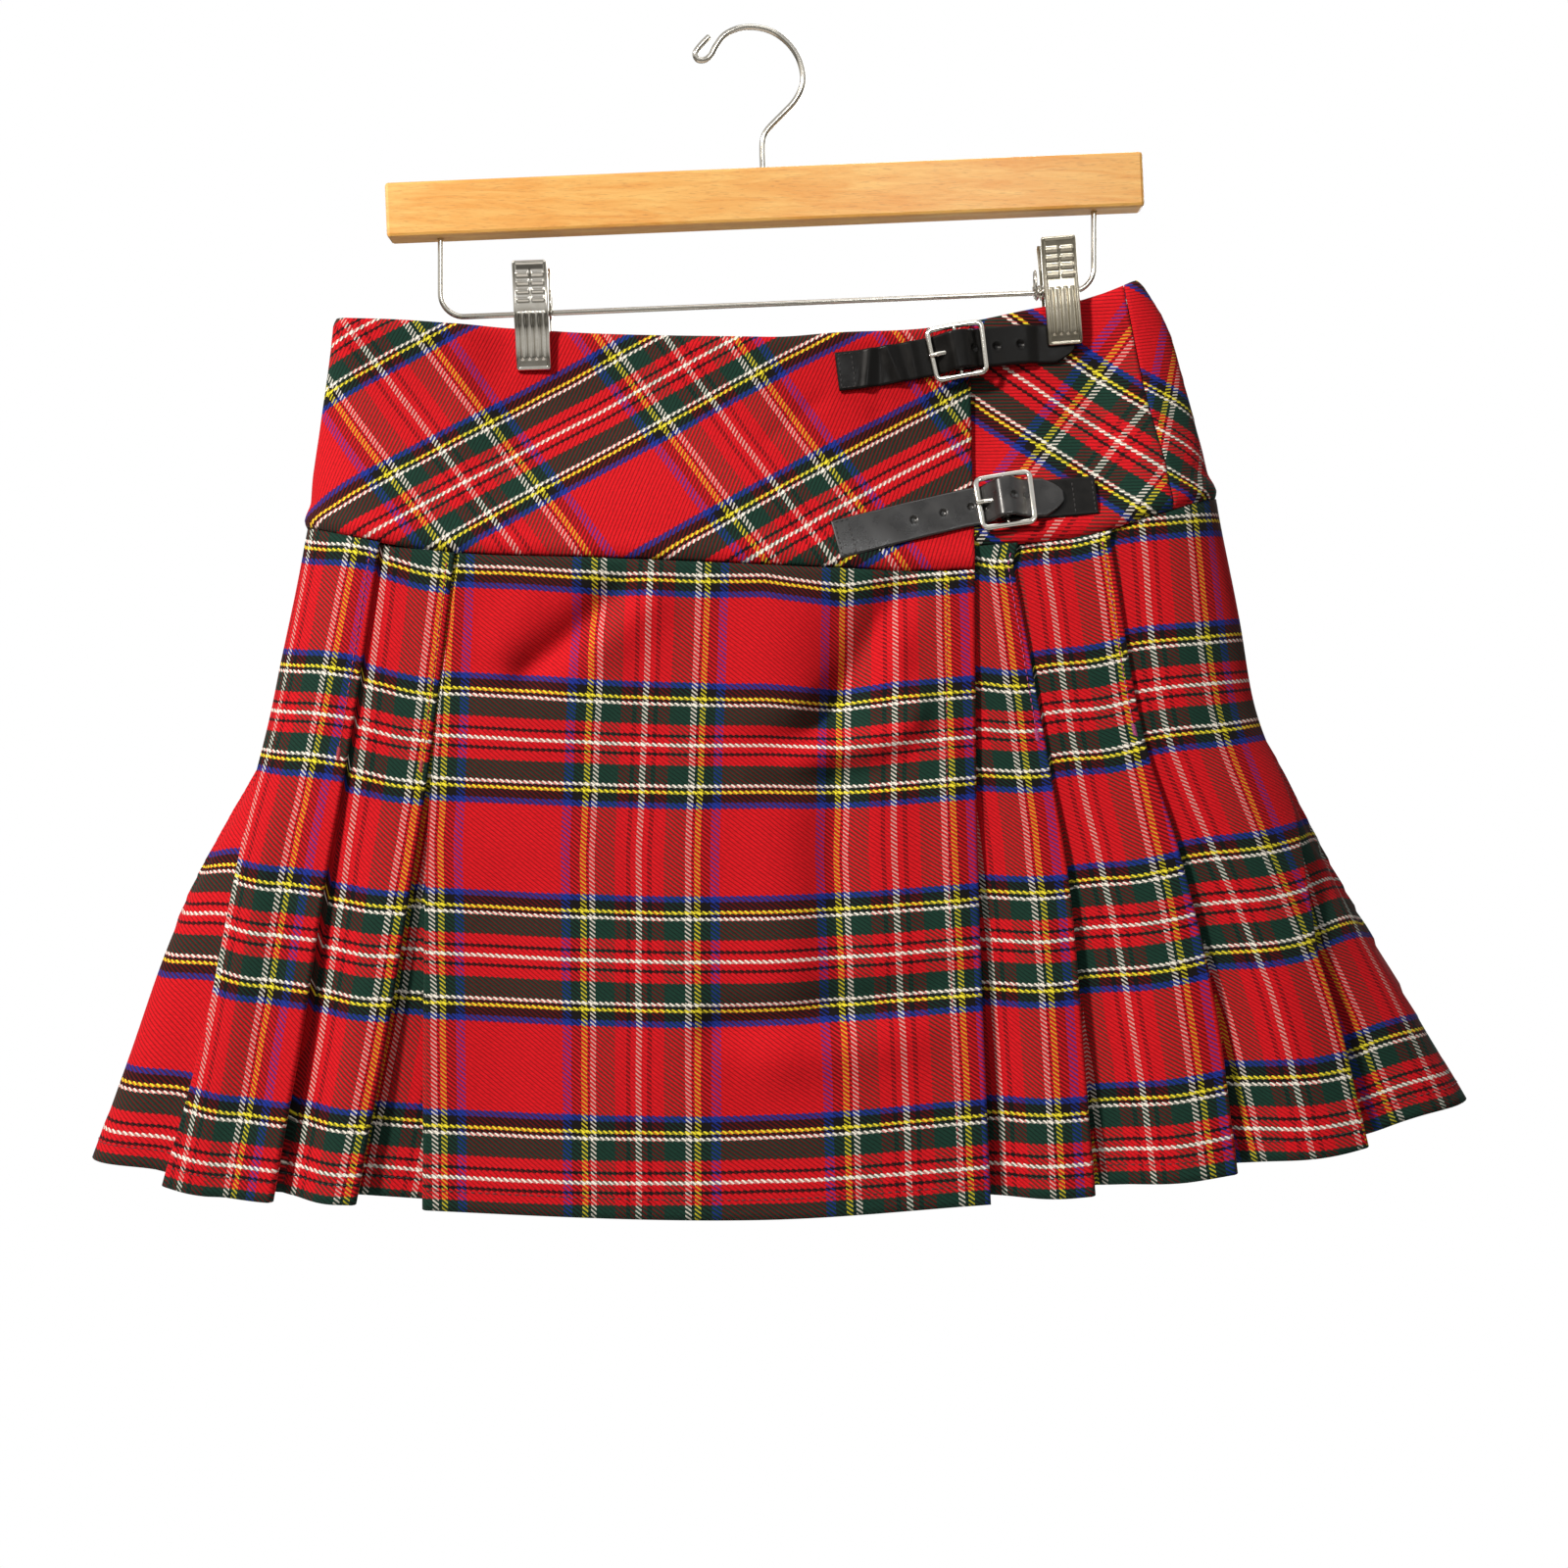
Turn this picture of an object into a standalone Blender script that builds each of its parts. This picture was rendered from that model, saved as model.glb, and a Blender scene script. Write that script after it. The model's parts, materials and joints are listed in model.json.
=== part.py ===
# Pleated tartan kilt held by a wooden clip hanger.
# Sizes are millimetres in this file and metres in Blender. The origin is the underside of
# the hook's crown, where the rail bears. X runs to the viewer's right, Z up, front faces -Y.
# A level runs 0 at the waist edge, 1 at the yoke seam, RELEASE where the pleats open, 2 at the hem.
import math

import bmesh
import bpy
import numpy as np
from mathutils import Matrix, Vector

MM = 0.001
SEAM_GAP = 0.35

# Cloth and leather
YOKE_WALL = 1.4
SKIRT_WALL = 1.0
LEATHER_WALL = 1.6
STRAP_WIDTH = 18.0
RELEASE = 1.34
YOKE_UNDER = 2.2
SKIRT_UNDER = 3.0
YOKE_UNDER_END = 26.0
SKIRT_UNDER_END = 30.0
TIP_DROP = 3.0
BACK_PLEATS = 9
SIDE_SEAM_BEHIND = 9.0

# Heights of the waist edge, the yoke seam and the hem along x, front and back
WAIST_FRONT = {
    "x": [-198, -168, -138, -105, -81, -5, 14, 38, 79, 117, 134, 152, 172, 181],
    "z": [-136.7, -137.6, -139.6, -141.4, -143, -146.3, -146.6, -144.6, -141.8,
          -134.4, -131, -128, -121.8, -118],
}
WAIST_BACK = {
    "x": [-198, -105, 14, 117, 141, 181],
    "z": [-136.7, -142.4, -148, -136.5, -131.5, -118],
}
SEAM_FRONT = {
    "x": [-211, -172, -139, -73, -5, 32, 102, 130, 160, 193, 217],
    "z": [-235.3, -243.8, -248.6, -250.9, -253.7, -255.4, -256.4, -251, -243.4, -228.5, -221.3],
}
SEAM_UNDER = {
    "x": [20, 60, 104, 140, 160, 181, 193],
    "z": [-247, -246.6, -245.4, -242.4, -239.3, -231.6, -228.5],
}
SEAM_BACK = {
    "x": [-211, -110, 0, 110, 217],
    "z": [-235.3, -240.5, -238.5, -231.5, -221.3],
}
HEM_FRONT = {
    "x": [-311, -249, -217, -180, -149, 3, 107, 154, 215, 280, 313, 334],
    "z": [-527, -539, -541.5, -542.5, -544.6, -549, -542, -538.4, -529, -517, -505, -500],
}
HEM_BACK = {
    "x": [-311, -150, 10, 170, 334],
    "z": [-527, -536, -536, -525, -500],
}

# Plan of the cloth at each level: both side edges, half depth and the length over which
# a side rounds away
PLAN = [
    {"level": 0.00, "left": -198, "right": 181, "depth": 6.0, "round": 7},
    {"level": 0.18, "left": -200, "right": 193, "depth": 9.0, "round": 13},
    {"level": 0.47, "left": -204, "right": 202.5, "depth": 15.0, "round": 24},
    {"level": 0.73, "left": -207.5, "right": 209.5, "depth": 19.5, "round": 32},
    {"level": 1.00, "left": -211, "right": 217, "depth": 23.0, "round": 38},
    {"level": 1.20, "left": -222.5, "right": 229.5, "depth": 25.5, "round": 42},
    {"level": 1.34, "left": -232.5, "right": 237.5, "depth": 27.5, "round": 46},
    {"level": 1.45, "left": -249, "right": 254, "depth": 30.0, "round": 56},
    {"level": 1.62, "left": -272.5, "right": 277, "depth": 34.0, "round": 72},
    {"level": 1.83, "left": -294, "right": 308.5, "depth": 39.0, "round": 92},
    {"level": 2.00, "left": -311, "right": 334, "depth": 43.0, "round": 110},
]

# Clips that press the waist together, and how far the waist bows between and beside them
CLIP_HALF = 10.0
PINCHED = 0.95
BOW_BETWEEN = 9.0
BOW_BESIDE = 4.6
BOW_RUN = 26.0
OPENS_FROM = 0.2
CLIPS = [
    {"name": "clip_left", "x": -105.4, "top": -110.6, "tilt": 1.9, "ear": 1, "grip": 0.0},
    {"name": "clip_right", "x": 141.9, "top": -99.2, "tilt": 4.6, "ear": -1, "grip": 1.9},
]

# Pleat folds that show in front, by their places along x at the seam, the release and the hem
FRONT_FOLDS = {
    "roll": {"seam": -209.0, "release": -230.0, "hem": -269.5},
    "left_outer": {"seam": -172.7, "release": -186.8, "hem": -217.7},
    "left_inner": {"seam": -138.2, "release": -149.6, "hem": -180.0},
    "apron": {"seam": -136.0, "release": -147.4, "hem": -148.8},
    "wrap": {"seam": 101.6, "release": 101.8, "hem": 107.0},
    "right_inner": {"seam": 118.9, "release": 135.4, "hem": 153.8},
    "right_middle": {"seam": 163.6, "release": 179.3, "hem": 217.0},
    "right_outer": {"seam": 207.0, "release": 219.0, "hem": 279.0},
}

# One pleat: tucked depth, spacing of its layers and how far its fold stands proud
PLEAT = [
    {"level": 0.90, "tuck": 33.0, "gap": 1.45, "proud": 3.1},
    {"level": 1.00, "tuck": 33.0, "gap": 1.45, "proud": 3.1},
    {"level": 1.34, "tuck": 33.0, "gap": 1.5, "proud": 3.3},
    {"level": 1.45, "tuck": 32.0, "gap": 2.0, "proud": 5.0},
    {"level": 1.70, "tuck": 30.0, "gap": 2.8, "proud": 8.0},
    {"level": 2.00, "tuck": 28.0, "gap": 3.4, "proud": 10.5},
]
SKIRT_ROWS = [0.0, 0.11, 0.22, 0.335, 0.44, 0.58, 0.72, 0.86, 1.0]
YOKE_ROWS = [0.0, 0.1, 0.22, 0.36, 0.52, 0.68, 0.84, 1.0]
APRON_STEP = 14.0
FOLD_POINTS = 3
TUCK_SHARE = 0.86
RIGHT_FOLDS = ("right_inner", "right_middle", "right_outer")
LEFT_FOLDS = ("roll", "left_outer", "left_inner")
# Pleats that bend round a side, by their number in travel order, and the spans of each layer
SIDE_SPANS = {0: 4, 1: 3, 2: 4, 3: 4, 4: 2, 11: 3, 12: 4, 13: 4}

# Side seam of the yoke on the right front, by level
SIDE_SEAM = {"level": [0, 0.46, 0.8, 1], "x": [173, 182.2, 190.6, 193]}

# Straps: their middle lines on the yoke, x and z, and places along them in x
TRACKS = {
    "upper": {
        "x": [38, 52.3, 73.4, 94.5, 112.8, 124.2, 150.7],
        "z": [-163.4, -161.5, -157.4, -152.9, -150.4, -149.2, -148.2],
        "sewn": 38.4, "buckle": 94.5, "tip": 150.4, "tab_end": 127.5,
    },
    "lower": {
        "x": [37, 72.5, 86.5, 99.6, 116.3, 143.4, 159],
        "z": [-243.6, -234.4, -231.0, -228.0, -225.8, -223.6, -222.4],
        "sewn": 37.7, "buckle": 116.3, "tip": 143.0, "tab_end": 158.3,
    },
}
STRAP_HOLE = 3.2
BUCKLE_LENGTH = 27.0
BUCKLE_HEIGHT = 26.0
BUCKLE_BAR = 2.4
BUCKLE_MIDDLE = 2.0
BUCKLE_THICK = 2.0
BUCKLE_CORNER = 2.2
BUCKLE_RISE = {"left": 3.2, "middle": 4.4, "right": 5.8}
PRONG_WIDTH = 2.4
PRONG_THICK = 1.2
TIP_POINT = 8.0

# Hanger
BAR_CENTRE = (4.7, 0.0, -79.1)
BAR_SIZE = (355.6, 14.0, 25.8)
BAR_TILT = 2.37
BAR_EDGE = 1.6
HOOK_WIRE = 2.9
HOOK_PATH = [
    (-21.6, -3.2), (-25.4, -7.0), (-28.0, -10.8), (-26.8, -13.8), (-23.4, -13.9),
    (-20.6, -11.6), (-18.2, -7.2), (-14.2, -2.2), (-7.6, 0.9), (0.0, 1.45), (8.2, -0.6),
    (15.2, -5.6), (20.2, -12.4), (22.6, -20.2), (22.2, -26.6), (18.6, -33.6),
    (12.2, -40.4), (6.4, -46.4), (4.0, -51.0), (3.6, -58.0), (4.2, -72.0), (4.9, -88.0),
]
TRAPEZE_WIRE = 2.6
TRAPEZE = {"left": -148.2, "right": 159.9, "low_left": -135.6, "low_right": -122.8,
           "corner": 11.0, "seated": 14.0}
BORE_CLEAR = 0.35

# Clip plates
CLIP_WIDTH = 16.5
CLIP_LENGTH = 50.5
GRIP_DOWN = 40.0
CLIP_METAL = 1.1
CLIP_FLANGE = 3.2
CLIP_LEVER_OUT = 8.2
SPRING_OUTER = 3.7
EAR_SIZE = (1.2, 7.0, 14.5)

COLOURS = {
    "tartan_red": (0.60, 0.03, 0.04, 1), "tartan_bias": (0.45, 0.02, 0.05, 1),
    "black_leather": (0.02, 0.02, 0.02, 1), "bright_nickel": (0.72, 0.73, 0.75, 1),
    "pale_beech": (0.85, 0.56, 0.28, 1),
}


def clearScene():
    for item in list(bpy.data.objects):
        bpy.data.objects.remove(item, do_unlink=True)
    for mesh in list(bpy.data.meshes):
        bpy.data.meshes.remove(mesh)


def smooth(value):
    value = np.clip(value, 0.0, 1.0)
    return value * value * (3.0 - 2.0 * value)


def curveThrough(xs, ys, at):
    # Cubic through table points with slopes averaged from both sides
    xs = np.asarray(xs, float)
    ys = np.asarray(ys, float)
    slope = np.diff(ys) / np.diff(xs)
    tangent = np.empty(len(xs))
    tangent[1:-1] = (slope[1:] + slope[:-1]) / 2
    tangent[0] = slope[0]
    tangent[-1] = slope[-1]
    at = np.clip(np.asarray(at, float), xs[0], xs[-1])
    k = np.clip(np.searchsorted(xs, at) - 1, 0, len(xs) - 2)
    width = xs[k + 1] - xs[k]
    t = (at - xs[k]) / width
    return ((2 * t**3 - 3 * t**2 + 1) * ys[k] + (t**3 - 2 * t**2 + t) * width * tangent[k]
            + (3 * t**2 - 2 * t**3) * ys[k + 1] + (t**3 - t**2) * width * tangent[k + 1])


def along(table, x):
    return curveThrough(table["x"], table["z"], x)


def planColumn(name, level):
    return np.interp(level, [row["level"] for row in PLAN], [row[name] for row in PLAN])


def pleatColumn(name, level):
    return np.interp(level, [row["level"] for row in PLEAT], [row[name] for row in PLEAT])


def foldPlace(name, level):
    fold = FRONT_FOLDS[name]
    return float(np.interp(level, [1.0, RELEASE, 2.0], [fold["seam"], fold["release"], fold["hem"]]))


def height(x, level, back):
    # Height at a level: waist to seam for levels 0 to 1, seam to hem for 1 to 2
    waist, seam, hem = (WAIST_BACK, SEAM_BACK, HEM_BACK) if back else (WAIST_FRONT, SEAM_FRONT, HEM_FRONT)
    top = along(waist, x)
    middle = along(seam, x)
    low = along(hem, x)
    yoke = top + (middle - top) * level
    skirt = middle + (low - middle) * (level - 1.0)
    return np.where(np.asarray(level) <= 1.0, yoke, skirt)


def levelOf(x, z):
    # Level of a front height above the seam, the inverse of height()
    top = along(WAIST_FRONT, x)
    middle = along(SEAM_FRONT, x)
    return (top - z) / (top - middle)


def underSeamLevel(x):
    x = np.asarray(x, float)
    z = along(SEAM_UNDER, x)
    return np.where(x < SEAM_UNDER["x"][-1], np.minimum(levelOf(x, z), 1.0), 1.0)


def waistBow(x):
    # Half depth of the waist: pressed flat at the clips, bowed between them and beside them
    left, right = (clip["x"] + GRIP_DOWN * math.sin(math.radians(clip["tilt"])) for clip in CLIPS)
    inner = np.clip((x - left - CLIP_HALF) / (right - left - 2 * CLIP_HALF), 0, 1)
    between = BOW_BETWEEN * np.sin(math.pi * inner) ** 2
    beside = np.maximum(left - CLIP_HALF - x, x - right - CLIP_HALF)
    return PINCHED + between + BOW_BESIDE * smooth(beside / BOW_RUN)


def halfDepth(x, level):
    depth = planColumn("depth", level)
    opening = smooth((level - OPENS_FROM) / (1.0 - OPENS_FROM))
    shape = waistBow(x) + (depth - waistBow(x)) * opening
    run = planColumn("round", level)
    edge = np.minimum(x - planColumn("left", level), planColumn("right", level) - x)
    side = np.clip(edge / run, 0.0, 1.0)
    return shape * np.sqrt(np.clip(1.0 - (1.0 - side) ** 2, 0.0, 1.0))


class Form:
    # Closed loops of the cloth's middle face at many levels, by place along each loop:
    # 0 to 1 over the front from left to right, 1 to 2 over the back
    def __init__(self, levels=101, samples=201):
        self.levels = np.linspace(0.0, 2.0, levels)
        self.places = np.linspace(0.0, 1.0, samples)
        self.x = np.empty((levels, samples))
        self.y = np.empty((levels, samples))
        self.length = np.empty(levels)
        turn = np.linspace(0.0, math.pi, 1201)
        for k, level in enumerate(self.levels):
            left = planColumn("left", level)
            right = planColumn("right", level)
            x = (left + right) / 2 - (right - left) / 2 * np.cos(turn)
            y = -halfDepth(x, level)
            run = np.concatenate([[0.0], np.cumsum(np.hypot(np.diff(x), np.diff(y)))])
            self.length[k] = run[-1]
            self.x[k] = np.interp(self.places * run[-1], run, x)
            self.y[k] = np.interp(self.places * run[-1], run, y)

    def lengthAt(self, level):
        return float(np.interp(level, self.levels, self.length))

    def blend(self, level):
        k = min(int(level / 2.0 * (len(self.levels) - 1)), len(self.levels) - 2)
        t = (level - self.levels[k]) / (self.levels[k + 1] - self.levels[k])
        return self.x[k] * (1 - t) + self.x[k + 1] * t, self.y[k] * (1 - t) + self.y[k + 1] * t

    def placeOfX(self, x, level):
        # Distance along the front from the left side edge, in millimetres
        row, _ = self.blend(level)
        return float(np.interp(x, row, self.places)) * self.lengthAt(level)

    def point(self, run, level, inset):
        # Point at a distance along the loop, moved towards the inside, and its height
        length = self.lengthAt(level)
        run = run % (2 * length)
        back = run > length
        place = (2 * length - run if back else run) / length
        row, deep = self.blend(level)
        step = 0.004
        ends = np.clip([place - step, place + step], 0.0, 1.0)
        x = float(np.interp(place, self.places, row))
        y = float(np.interp(place, self.places, deep))
        ex = np.interp(ends, self.places, row)
        ey = np.interp(ends, self.places, deep)
        if ends[0] == 0.0:
            ey[0] = -ey[1]
            ex[0] = ex[1]
        if ends[1] == 1.0:
            ey[1] = -ey[0]
            ex[1] = ex[0]
        tangent = Vector((ex[1] - ex[0], ey[1] - ey[0]))
        if tangent.length < 1e-9:
            tangent = Vector((0.0, -1.0 if place < 0.5 else 1.0))
        tangent.normalize()
        inward = Vector((-tangent.y, tangent.x))
        if back:
            y = -y
            inward.y = -inward.y
        z = float(height(x, level, back))
        return Vector((x + inward.x * inset, y + inward.y * inset, z))


def addObject(name, mesh, colour, smoothAll=True):
    thing = bpy.data.objects.new(name, mesh)
    bpy.context.scene.collection.objects.link(thing)
    material = bpy.data.materials.get(colour) or bpy.data.materials.new(colour)
    material.use_nodes = True
    material.node_tree.nodes["Principled BSDF"].inputs["Base Color"].default_value = COLOURS[colour]
    mesh.materials.append(material)
    for polygon in mesh.polygons:
        polygon.use_smooth = smoothAll
    return thing


def meshFrom(name, points, faces):
    # Closed mesh in metres with its faces turned outward
    mesh = bpy.data.meshes.new(name)
    mesh.from_pydata([tuple(p * MM for p in point) for point in points], [], faces)
    work = bmesh.new()
    work.from_mesh(mesh)
    bmesh.ops.recalc_face_normals(work, faces=work.faces)
    if work.calc_volume(signed=True) < 0:
        bmesh.ops.reverse_faces(work, faces=work.faces)
    work.to_mesh(mesh)
    work.free()
    mesh.update()
    return mesh


def wallMesh(name, rows, thickness):
    # Wall round the middle points rows[level][column], offset both ways across its plan line
    count = len(rows)
    wide = len(rows[0])
    outer, inner = [], []
    for row in rows:
        for j, point in enumerate(row):
            before = row[max(j - 1, 0)]
            after = row[min(j + 1, wide - 1)]
            first = Vector((point.x - before.x, point.y - before.y))
            second = Vector((after.x - point.x, after.y - point.y))
            if first.length < 1e-9:
                first = second.copy()
            if second.length < 1e-9:
                second = first.copy()
            first.normalize()
            second.normalize()
            tangent = first + second
            tangent = tangent.normalized() if tangent.length > 1e-6 else second
            reach = thickness / 2 / max(tangent.dot(second), 0.6)
            side = Vector((tangent.y, -tangent.x, 0.0)) * reach
            outer.append(point + side)
            inner.append(point - side)
    half = count * wide
    faces = []
    for i in range(count - 1):
        for j in range(wide - 1):
            a, b = i * wide + j, i * wide + j + 1
            c, d = b + wide, a + wide
            faces.append((a, b, c, d))
            faces.append((half + b, half + a, half + d, half + c))
    for j in range(wide - 1):
        low = (count - 1) * wide + j
        faces.append((j + 1, j, half + j, half + j + 1))
        faces.append((low, low + 1, half + low + 1, half + low))
    for i in range(count - 1):
        a, b = i * wide, (i + 1) * wide
        c, d = a + wide - 1, b + wide - 1
        faces.append((a, b, half + b, half + a))
        faces.append((d, c, half + c, half + d))
    return meshFrom(name, outer + inner, faces)


class Pleat:
    # One knife pleat at one level. Its face rises from under the fold before it to its own
    # fold, turns back for the tuck as a middle layer, and turns again into an inner layer
    def __init__(self, before, tip, level, spans, headInset=None):
        self.gap = float(pleatColumn("gap", level))
        self.proud = float(pleatColumn("proud", level))
        self.deep = self.proud if headInset is None else headInset
        tuck = float(pleatColumn("tuck", level))
        if headInset is None:
            tuck = min(tuck, TUCK_SHARE * (tip - before))
        self.tip = tip
        self.rise = before + self.gap / 2 + 0.9
        self.edge = tip - self.gap / 2
        self.fold = tip - tuck + self.gap / 2
        self.spans = spans

    def face(self, run):
        return self.deep * min(max((self.tip - run) / (self.tip - self.rise), 0.0), 1.0)

    def turn(self, run, first, way):
        # Half circle at a fold between two layers one gap apart, bulging along the loop
        radius = self.gap / 2
        angles = [math.pi * k / (FOLD_POINTS + 1) for k in range(1, FOLD_POINTS + 1)]
        return [(run + way * radius * math.sin(angle), first + radius * (1 - math.cos(angle)))
                for angle in angles]

    def outerPart(self):
        start = max(self.fold, self.rise + 0.3 * (self.edge - self.rise))
        runs = [self.rise, (self.rise + start) / 2]
        runs += [start + (self.edge - start) * k / self.spans for k in range(self.spans + 1)]
        path = [(run, self.face(run)) for run in runs]
        path += self.turn(self.edge, self.face(self.edge), 1)
        backward = [self.edge + (self.fold - self.edge) * k / self.spans for k in range(self.spans + 1)]
        return path + [(run, self.face(run) + self.gap) for run in backward]

    def tuckTurn(self):
        return self.turn(self.fold, self.face(self.fold) + self.gap, -1)

    def innerPart(self):
        path = []
        for k in range(self.spans + 1):
            share = k / self.spans
            run = self.fold + (self.edge - self.fold) * share
            path.append((run, self.face(run) + 2 * self.gap + (self.proud - 2 * self.gap) * share))
        return path


def cloth(form, run, level, inset, top):
    # Point of the skirt; a fold that stands proud also hangs a little lower at the hem,
    # and the first row keeps the seam's gap
    point = form.point(run, level, inset)
    low = smooth((level - RELEASE) / (2.0 - RELEASE))
    share = inset / float(pleatColumn("proud", level))
    point.z -= TIP_DROP * low * (1.0 - min(max(share, 0.0), 1.0))
    if top:
        point.z -= SEAM_GAP
    return point


def seamLevel(form, run):
    # Level of the skirt's top edge: the right front is sewn to the under yoke, a little higher
    length = form.lengthAt(1.0)
    if run > length:
        return 1.0
    return float(underSeamLevel(np.interp(run / length, form.places, form.blend(1.0)[0])))


def skirtRows(form, pathAt, under):
    seam = pathAt(1.0)
    tops = [seamLevel(form, run) if under else 1.0 for run, _ in seam]
    kept = {}
    rows = []
    for k, part in enumerate(SKIRT_ROWS):
        row = []
        for j, top in enumerate(tops):
            level = round(top + (2.0 - top) * part, 4)
            if level not in kept:
                kept[level] = pathAt(level)
            run, inset = kept[level][j]
            row.append(cloth(form, run, level, inset, k == 0))
        rows.append(row)
    return rows


def pleatsAt(form, level):
    # Every pleat in travel order: right front, back, left front
    total = 2 * form.lengthAt(level)
    right = [form.placeOfX(foldPlace(name, level), level) for name in RIGHT_FOLDS]
    left = [form.placeOfX(foldPlace(name, level), level) + total for name in LEFT_FOLDS]
    steps = BACK_PLEATS + 1
    back = [right[-1] + (left[0] - right[-1]) * k / steps for k in range(1, steps)]
    tips = right + back + left
    wrap = form.placeOfX(foldPlace("wrap", level), level)
    head = max(SKIRT_UNDER, 0.8 * float(pleatColumn("proud", level)))
    pleats = [Pleat(wrap, tips[0], level, SIDE_SPANS[0], head)]
    for k in range(1, len(tips)):
        pleats.append(Pleat(tips[k - 1], tips[k], level, SIDE_SPANS.get(k, 1)))
    return pleats


def pleatRun(pleats, closeLast):
    path = []
    for k, pleat in enumerate(pleats):
        path += pleat.outerPart()
        if closeLast or k < len(pleats) - 1:
            path += pleat.tuckTurn() + pleat.innerPart()
    return path


def makeSkirt(form):
    rightEnd = len(RIGHT_FOLDS)
    backEnd = rightEnd + BACK_PLEATS
    apronSpans = round((FRONT_FOLDS["wrap"]["seam"] - FRONT_FOLDS["apron"]["seam"]) / APRON_STEP)

    def rightPath(level):
        pleats = pleatsAt(form, level)
        wrap = form.placeOfX(foldPlace("wrap", level), level)
        end = form.placeOfX(SKIRT_UNDER_END, level)
        under = [(end + (wrap - end) * part, pleats[0].deep) for part in (0.0, 0.25, 0.5, 0.75, 0.97)]
        return under + pleatRun(pleats[:rightEnd], False)

    def backPath(level):
        pleats = pleatsAt(form, level)
        return pleats[rightEnd - 1].innerPart() + pleatRun(pleats[rightEnd:backEnd], False)

    def leftPath(level):
        pleats = pleatsAt(form, level)
        apron = form.placeOfX(foldPlace("apron", level), level) + 2 * form.lengthAt(level)
        tuck = float(pleatColumn("tuck", level))
        underlay = [(apron + tuck * part, pleats[-1].proud) for part in (0.05, 0.5, 1.0)]
        return pleats[backEnd - 1].innerPart() + pleatRun(pleats[backEnd:], True) + underlay

    def apronPath(level):
        gap = float(pleatColumn("gap", level))
        tuck = float(pleatColumn("tuck", level))
        fold = form.placeOfX(foldPlace("apron", level), level) + gap / 2
        right = form.placeOfX(foldPlace("wrap", level), level)
        path = [(fold + tuck, gap), (fold + tuck / 2, gap), (fold, gap)]
        for k in range(1, FOLD_POINTS + 1):
            angle = math.pi * k / (FOLD_POINTS + 1)
            path.append((fold - gap / 2 * math.sin(angle), gap / 2 * (1 + math.cos(angle))))
        return path + [(fold + (right - fold) * k / apronSpans, 0.0) for k in range(apronSpans + 1)]

    for name, path, under in (("pleats_right", rightPath, True), ("pleats_back", backPath, False),
                              ("pleats_left", leftPath, False), ("apron", apronPath, False)):
        rows = skirtRows(form, path, under)
        addObject(name, wallMesh(name, rows, SKIRT_WALL), "tartan_red")


def spread(knots, steps):
    runs = [knots[0]]
    for first, second, count in zip(knots, knots[1:], steps):
        runs += [first + (second - first) * k / count for k in range(1, count + 1)]
    return runs


def underInset(form, run, level):
    # The under panel lies behind the wrap and comes forward beyond its edge
    x = form.point(run, level, 0.0).x
    edge = foldPlace("wrap", 1.0)
    return YOKE_UNDER * (1.0 - float(smooth((x - edge - 3.0) / 24.0)))


def yokeRows(form, runsAt, under):
    rows = []
    for part in YOKE_ROWS:
        row = []
        for j, guess in enumerate(runsAt(part)):
            level = part
            if under:
                level = part * float(underSeamLevel(form.point(guess, part, 0.0).x))
            run = runsAt(level)[j] if under else guess
            row.append(form.point(run, level, underInset(form, run, level) if under else 0.0))
        rows.append(row)
    return rows


def makeYoke(form):
    def sideSeam(level):
        return form.placeOfX(np.interp(level, SIDE_SEAM["level"], SIDE_SEAM["x"]), level)

    def frontRuns(level):
        wrap = form.placeOfX(foldPlace("wrap", 1.0), level)
        return spread([-SIDE_SEAM_BEHIND, 18.0, wrap], [9, 18])

    def sideRuns(level):
        start = form.placeOfX(YOKE_UNDER_END, level)
        return spread([start, sideSeam(level) - 18.0, sideSeam(level)], [14, 5])

    def backRuns(level):
        length = form.lengthAt(level)
        start = sideSeam(level) + SEAM_GAP
        end = 2 * length - SIDE_SEAM_BEHIND - SEAM_GAP
        return spread([start, length + 20.0, 2 * length - 24.0, end], [12, 22, 4])

    for name, runs, under in (("yoke_front", frontRuns, False), ("yoke_side", sideRuns, True),
                              ("yoke_back", backRuns, False)):
        addObject(name, wallMesh(name, yokeRows(form, runs, under), YOKE_WALL), "tartan_bias")


class Track:
    # Middle line of a strap on the yoke's face: places along it, across it and out from it
    def __init__(self, table):
        self.table = table
        self.xs = np.linspace(table["x"][0], table["x"][-1], 400)
        self.zs = curveThrough(table["x"], table["z"], self.xs)
        steps = np.hypot(np.diff(self.xs), np.diff(self.zs))
        self.runs = np.concatenate([[0.0], np.cumsum(steps)])

    def runOf(self, x):
        return float(np.interp(x, self.xs, self.runs))

    def surface(self, x, z):
        level = float(np.clip(levelOf(x, z), 0.0, 1.0))
        return Vector((x, -float(halfDepth(np.array(x), level)), z))

    def point(self, run, across, out):
        x = float(np.interp(run, self.runs, self.xs))
        z = float(np.interp(run, self.runs, self.zs))
        ahead = Vector((np.interp(run + 3, self.runs, self.xs), np.interp(run + 3, self.runs, self.zs)))
        behind = Vector((np.interp(run - 3, self.runs, self.xs), np.interp(run - 3, self.runs, self.zs)))
        way = (ahead - behind).normalized()
        px = x - way.y * across
        pz = z + way.x * across
        spot = self.surface(px, pz)
        side = self.surface(px + 2, pz) - self.surface(px - 2, pz)
        rise = self.surface(px, pz + 2) - self.surface(px, pz - 2)
        normal = side.cross(rise).normalized()
        if normal.y > 0:
            normal = -normal
        return spot + normal * (YOKE_WALL / 2 + out)


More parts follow.
